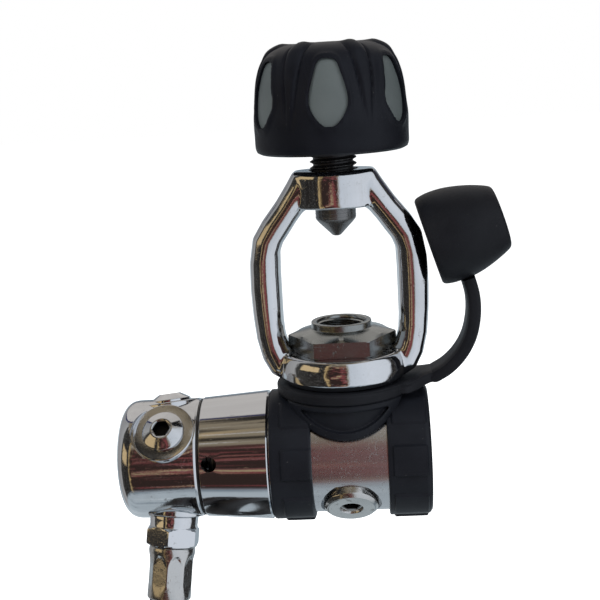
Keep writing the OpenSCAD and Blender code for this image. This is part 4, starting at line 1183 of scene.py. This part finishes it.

# %% [markdown]
# ## The main spring
# The spring pushes the piston off its seat. It is a coil of round wire between the body's wall
# and the piston's head, and when the piston shuts it gets shorter by the whole stroke. Here it
# keeps the frame's wound shape, and only the stroke is read from the record.

# %% Main spring
spring_low, spring_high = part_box("main_spring")
joints = {joint["name"]: joint for joint in frame["record"]["behaviour"]["joints"]}
stroke = joints["piston_stroke"]["range_m"][1]
spring = become(from_node("main_spring"), "main_spring_wound", "first_stage", "spring_steel",
                ["main_spring"])
1 - stroke / (spring_high[0] - spring_low[0])
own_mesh(spring)
print("spring shortens by", stroke, "m")

# %% [markdown]
# ## Coil ties
# Two straps hold the turns of the hose together. The frame gives them as square loops, and a
# small bevel along every edge takes the sharpness off.

# %% Coil ties
ties = from_node("coil_ties")
bmesh.ops.dissolve_limit(ties, angle_limit=math.radians(3), verts=ties.verts, edges=ties.edges)
corners = [edge for edge in ties.edges if edge.calc_face_angle(0.0) > 0.6]
bmesh.ops.bevel(ties, geom=corners, offset=0.65, offset_type="OFFSET", segments=3, profile=0.5,
                affect="EDGES", material=-1)
become(ties, "coil_ties_moulded", "turret_group", slot_of["coil_ties"], ["coil_ties"])

# %% [markdown]
# ### The hose
# Both ferrules are made, and the hose is laid.

# %% Cord
print("hose laid")

# %% [markdown]
# ## Floor, surround, room and lamps
# The object stands on a plain pale floor in soft light. Chrome shows the room and nothing else,
# and a white surround makes it look like white plastic. So a big painted sphere stands round the
# object: dark, red, gold and pale walls by direction, a warm ceiling and a bluish floor. Only
# reflections see it: it doesn't tint the light, throw shadows or come into view itself.

# %% Floor
FLOOR_HALF, SURROUND = 6.0, 0.55
floor_z = cad_low.z
ground = bmesh.new()
bmesh.ops.create_grid(ground, x_segments=1, y_segments=1, size=FLOOR_HALF,
                      matrix=Matrix.Translation((0, 0, floor_z)))
ground_mesh = bpy.data.meshes.new("floor")
ground.to_mesh(ground_mesh)
ground.free()
floor = placed("floor", ground_mesh)
floor.visible_glossy = False


def seen_directly(flow):
    """1 for the rays of camera, mirrors and glass, and 0 for the rays that light things."""
    rays = [flow.make("LightPath", out=i) for i in (0, 3, 4)]
    total = rays[0] + rays[1] + rays[2]
    return total.math("MINIMUM", total, 1.0)


def coat(mesh, name, build):
    """A material whose surface is what build makes, on a stage mesh."""
    made = bpy.data.materials.new(name)
    made.use_nodes = True
    surface = build(Flow(made.node_tree, None))
    made.node_tree.links.new(surface.socket, made.node_tree.nodes["Material Output"].inputs[0])
    mesh.materials.append(made)
    print(name, "has", len(made.node_tree.nodes), "nodes")


def pale_floor(flow):
    lit = flow.make("BsdfDiffuse", Color=(0.62, 0.63, 0.64))
    white = flow.make("Emission", Color=(1.0, 1.0, 1.0), Strength=0.8)
    shown = flow.make("AddShader", n0=lit, n1=white)
    return flow.make("MixShader", n0=seen_directly(flow), n1=lit, n2=shown)


coat(ground_mesh, "pale_floor", pale_floor)
print("floor at", round(floor_z, 3))

# %% World
world = bpy.data.worlds.new("studio")
bpy.context.scene.world = world
world.use_nodes = True
sky = Flow(world.node_tree, None)
strength = SURROUND + (1 - SURROUND) * seen_directly(sky)
surround = sky.make("Background", Color=(1.0, 1.0, 1.0), Strength=strength)
world.node_tree.links.new(surround.socket, world.node_tree.nodes["World Output"].inputs[0])
print("world ready")

# %% The room that the metal shows
ROOM_R = 3.0
ball = bmesh.new()
bmesh.ops.create_uvsphere(ball, u_segments=64, v_segments=32, radius=ROOM_R)
bmesh.ops.reverse_faces(ball, faces=ball.faces)
room_mesh = bpy.data.meshes.new("room")
ball.to_mesh(room_mesh)
ball.free()
room = placed("room", room_mesh)
for kind in ("visible_camera", "visible_diffuse", "visible_shadow", "visible_transmission"):
    setattr(room, kind, False)


def turn_of(degrees):
    """An angle from the front, positive to the right, as a place from 0 to 1 round the room."""
    return (degrees + 180) / 360


BLACK, GOLD, RED, SNOW = (0.022, 0.020, 0.019), (0.78, 0.56, 0.27), (0.21, 0.058, 0.06), (0.84, 0.89, 0.97)
WALLS = [
    (-180, (0.26, 0.27, 0.29)), (-128, (0.34, 0.34, 0.35)), (-97, (0.46, 0.46, 0.46)),
    (-92, (0.05, 0.048, 0.045)),
    (-60, BLACK), (-34, BLACK), (-32, GOLD), (-27, (0.55, 0.38, 0.16)), (-25, (0.05, 0.02, 0.02)),
    (-19, RED),
    (1, (0.25, 0.068, 0.07)), (4, (0.20, 0.05, 0.05)), (7, (0.30, 0.26, 0.19)), (12, (0.72, 0.78, 0.86)),
    (52, SNOW), (92, (0.80, 0.85, 0.92)), (97, BLACK), (150, (0.045, 0.045, 0.05)),
    (158, (0.24, 0.25, 0.27)),
    (180, (0.26, 0.27, 0.29)),
]
print("room with", len(WALLS), "bands")

# %% [markdown]
# ### Paint on the room
# The walls are one colour ramp by direction. Over them come crumbs of grey, a gold patch low on
# the left, clutter high in front, dark and pale fingers lower in front, then the ceiling with a
# blue line at its edge, and the floor. Each is a mask that mixes one more colour in, and a
# little noise on the direction makes the borders wander as they do in a real room.

# %% Walls and what stands before them


def gate(turn, rise, fall):
    """1 between two directions, each given as the two angles where its soft edge starts and ends."""
    return turn.between(*map(turn_of, rise)) * (1.0 - turn.between(*map(turn_of, fall)))


def room_walls(where, around, climb, wobble, lie):
    z = where.part(2) * (1 / ROOM_R)
    walls = around.make("ValToRGB", settings={"stops": [(turn_of(d), shade) for d, shade in WALLS]},
                        n0=around)
    crumbs = where.grain(8.0, 5.0, 0.72).between(0.53, 0.66) * 0.42
    walls = crumbs.mix(walls, (0.46, 0.45, 0.42))
    gold_patch = gate(around, (-84, -78), (-47, -43)) * z.inside(0.02, 0.44, 0.04)
    walls = gold_patch.mix(walls, (0.72, 0.54, 0.30))
    in_front = gate(around, (-34, -26), (4, 9))
    high_up = (climb + wobble * 0.1).between(0.15, 0.22)
    streaks = lie.grain(2.3, 5.0, 0.62)
    clutter = streaks.between(0.42, 0.49).mix((0.03, 0.026, 0.022), (0.30, 0.25, 0.18))
    clutter = streaks.between(0.55, 0.59).mix(clutter, (0.70, 0.68, 0.65))
    clutter = streaks.between(0.62, 0.66).mix(clutter, (0.16, 0.13, 0.10))
    walls = (in_front.larger(z.between(0.78, 0.9)) * high_up).mix(walls, clutter)
    low_front = in_front * (1.0 - high_up)
    fingers = lie.stretched(0.8, 2.2, 1.0).grain(3.0, 3.0, 0.5)
    to_the_left = 1.0 - around.between(turn_of(-4.9), turn_of(-3.9))
    dark_fingers = fingers.between(0.51, 0.55).larger(fingers.between(0.42, 0.47) * to_the_left)
    walls = (dark_fingers * low_front).mix(walls, (0.040, 0.025, 0.022))
    return (fingers.between(0.40, 0.36) * low_front).mix(walls, (0.42, 0.33, 0.20))


# %% The whole room's paint


def room_paint(flow):
    where = flow.make("TexCoord", out=3)
    x, y, z = (where.part(i) * (1 / ROOM_R) for i in range(3))
    wobble = where.stretched(1.0, 1.0, 0.5).grain(1.6, 4.0, 0.6) - 0.5
    around = x.math("ARCTAN2", x, 0.0 - y) * (1 / math.tau) + 0.5 + wobble * 0.034
    climb = z.math("ARCTAN2", z, 0.0 - y) * (1 / math.pi)
    lie = flow.make("CombineXYZ", n0=x * 0.9, n1=climb * 5.2)
    walls = room_walls(where, around, climb, wobble, lie)
    overhead = (z + y) * z.between(0.1, 0.3)
    ceiling = where.grain(1.2, 3.0).mix((0.50, 0.47, 0.45), (0.80, 0.77, 0.74))
    shade = overhead.between(1.03, 1.07).mix(walls, ceiling)
    blue_line = overhead.between(0.98, 1.01) * (1.0 - overhead.between(1.04, 1.06))
    shade = blue_line.mix(shade, (0.02, 0.025, 0.09))
    low_down = (0.0 - z).between(0.66, 0.76).larger((y * 0.9 - z * 0.6).between(0.75, 0.85))
    mats = lie.stretched(0.6, 1.0, 1.0).grain(1.7, 4.0, 0.6)
    ground_shine = mats.between(0.34, 0.50).mix((0.10, 0.15, 0.20), (0.50, 0.57, 0.62))
    shade = low_down.mix(shade, mats.between(0.55, 0.7).mix(ground_shine, (0.70, 0.77, 0.82)))
    return flow.make("Emission", Color=shade, Strength=1.0)


coat(room_mesh, "room_paint", room_paint)

# %% Lamps
LAMPS = {
    "key": ((-0.55, -0.75, 0.85), 0.5, 9.0),
    "fill": ((0.8, -0.6, 0.35), 0.6, 5.0),
    "back": ((0.2, 0.8, 0.7), 0.7, 6.0),
}
AIM_AT = Vector((0, 0, -0.02))
for name, (place, size, watts) in LAMPS.items():
    lamp = bpy.data.lights.new(name, "AREA")
    lamp.size = size
    lamp.energy = watts
    holder = placed(name, lamp)
    aim = AIM_AT - Vector(place)
    holder.visible_glossy = False
    holder.matrix_world = Matrix.Translation(place) @ aim.to_track_quat("-Z", "Y").to_matrix().to_4x4()
print("lamps:", len(LAMPS))
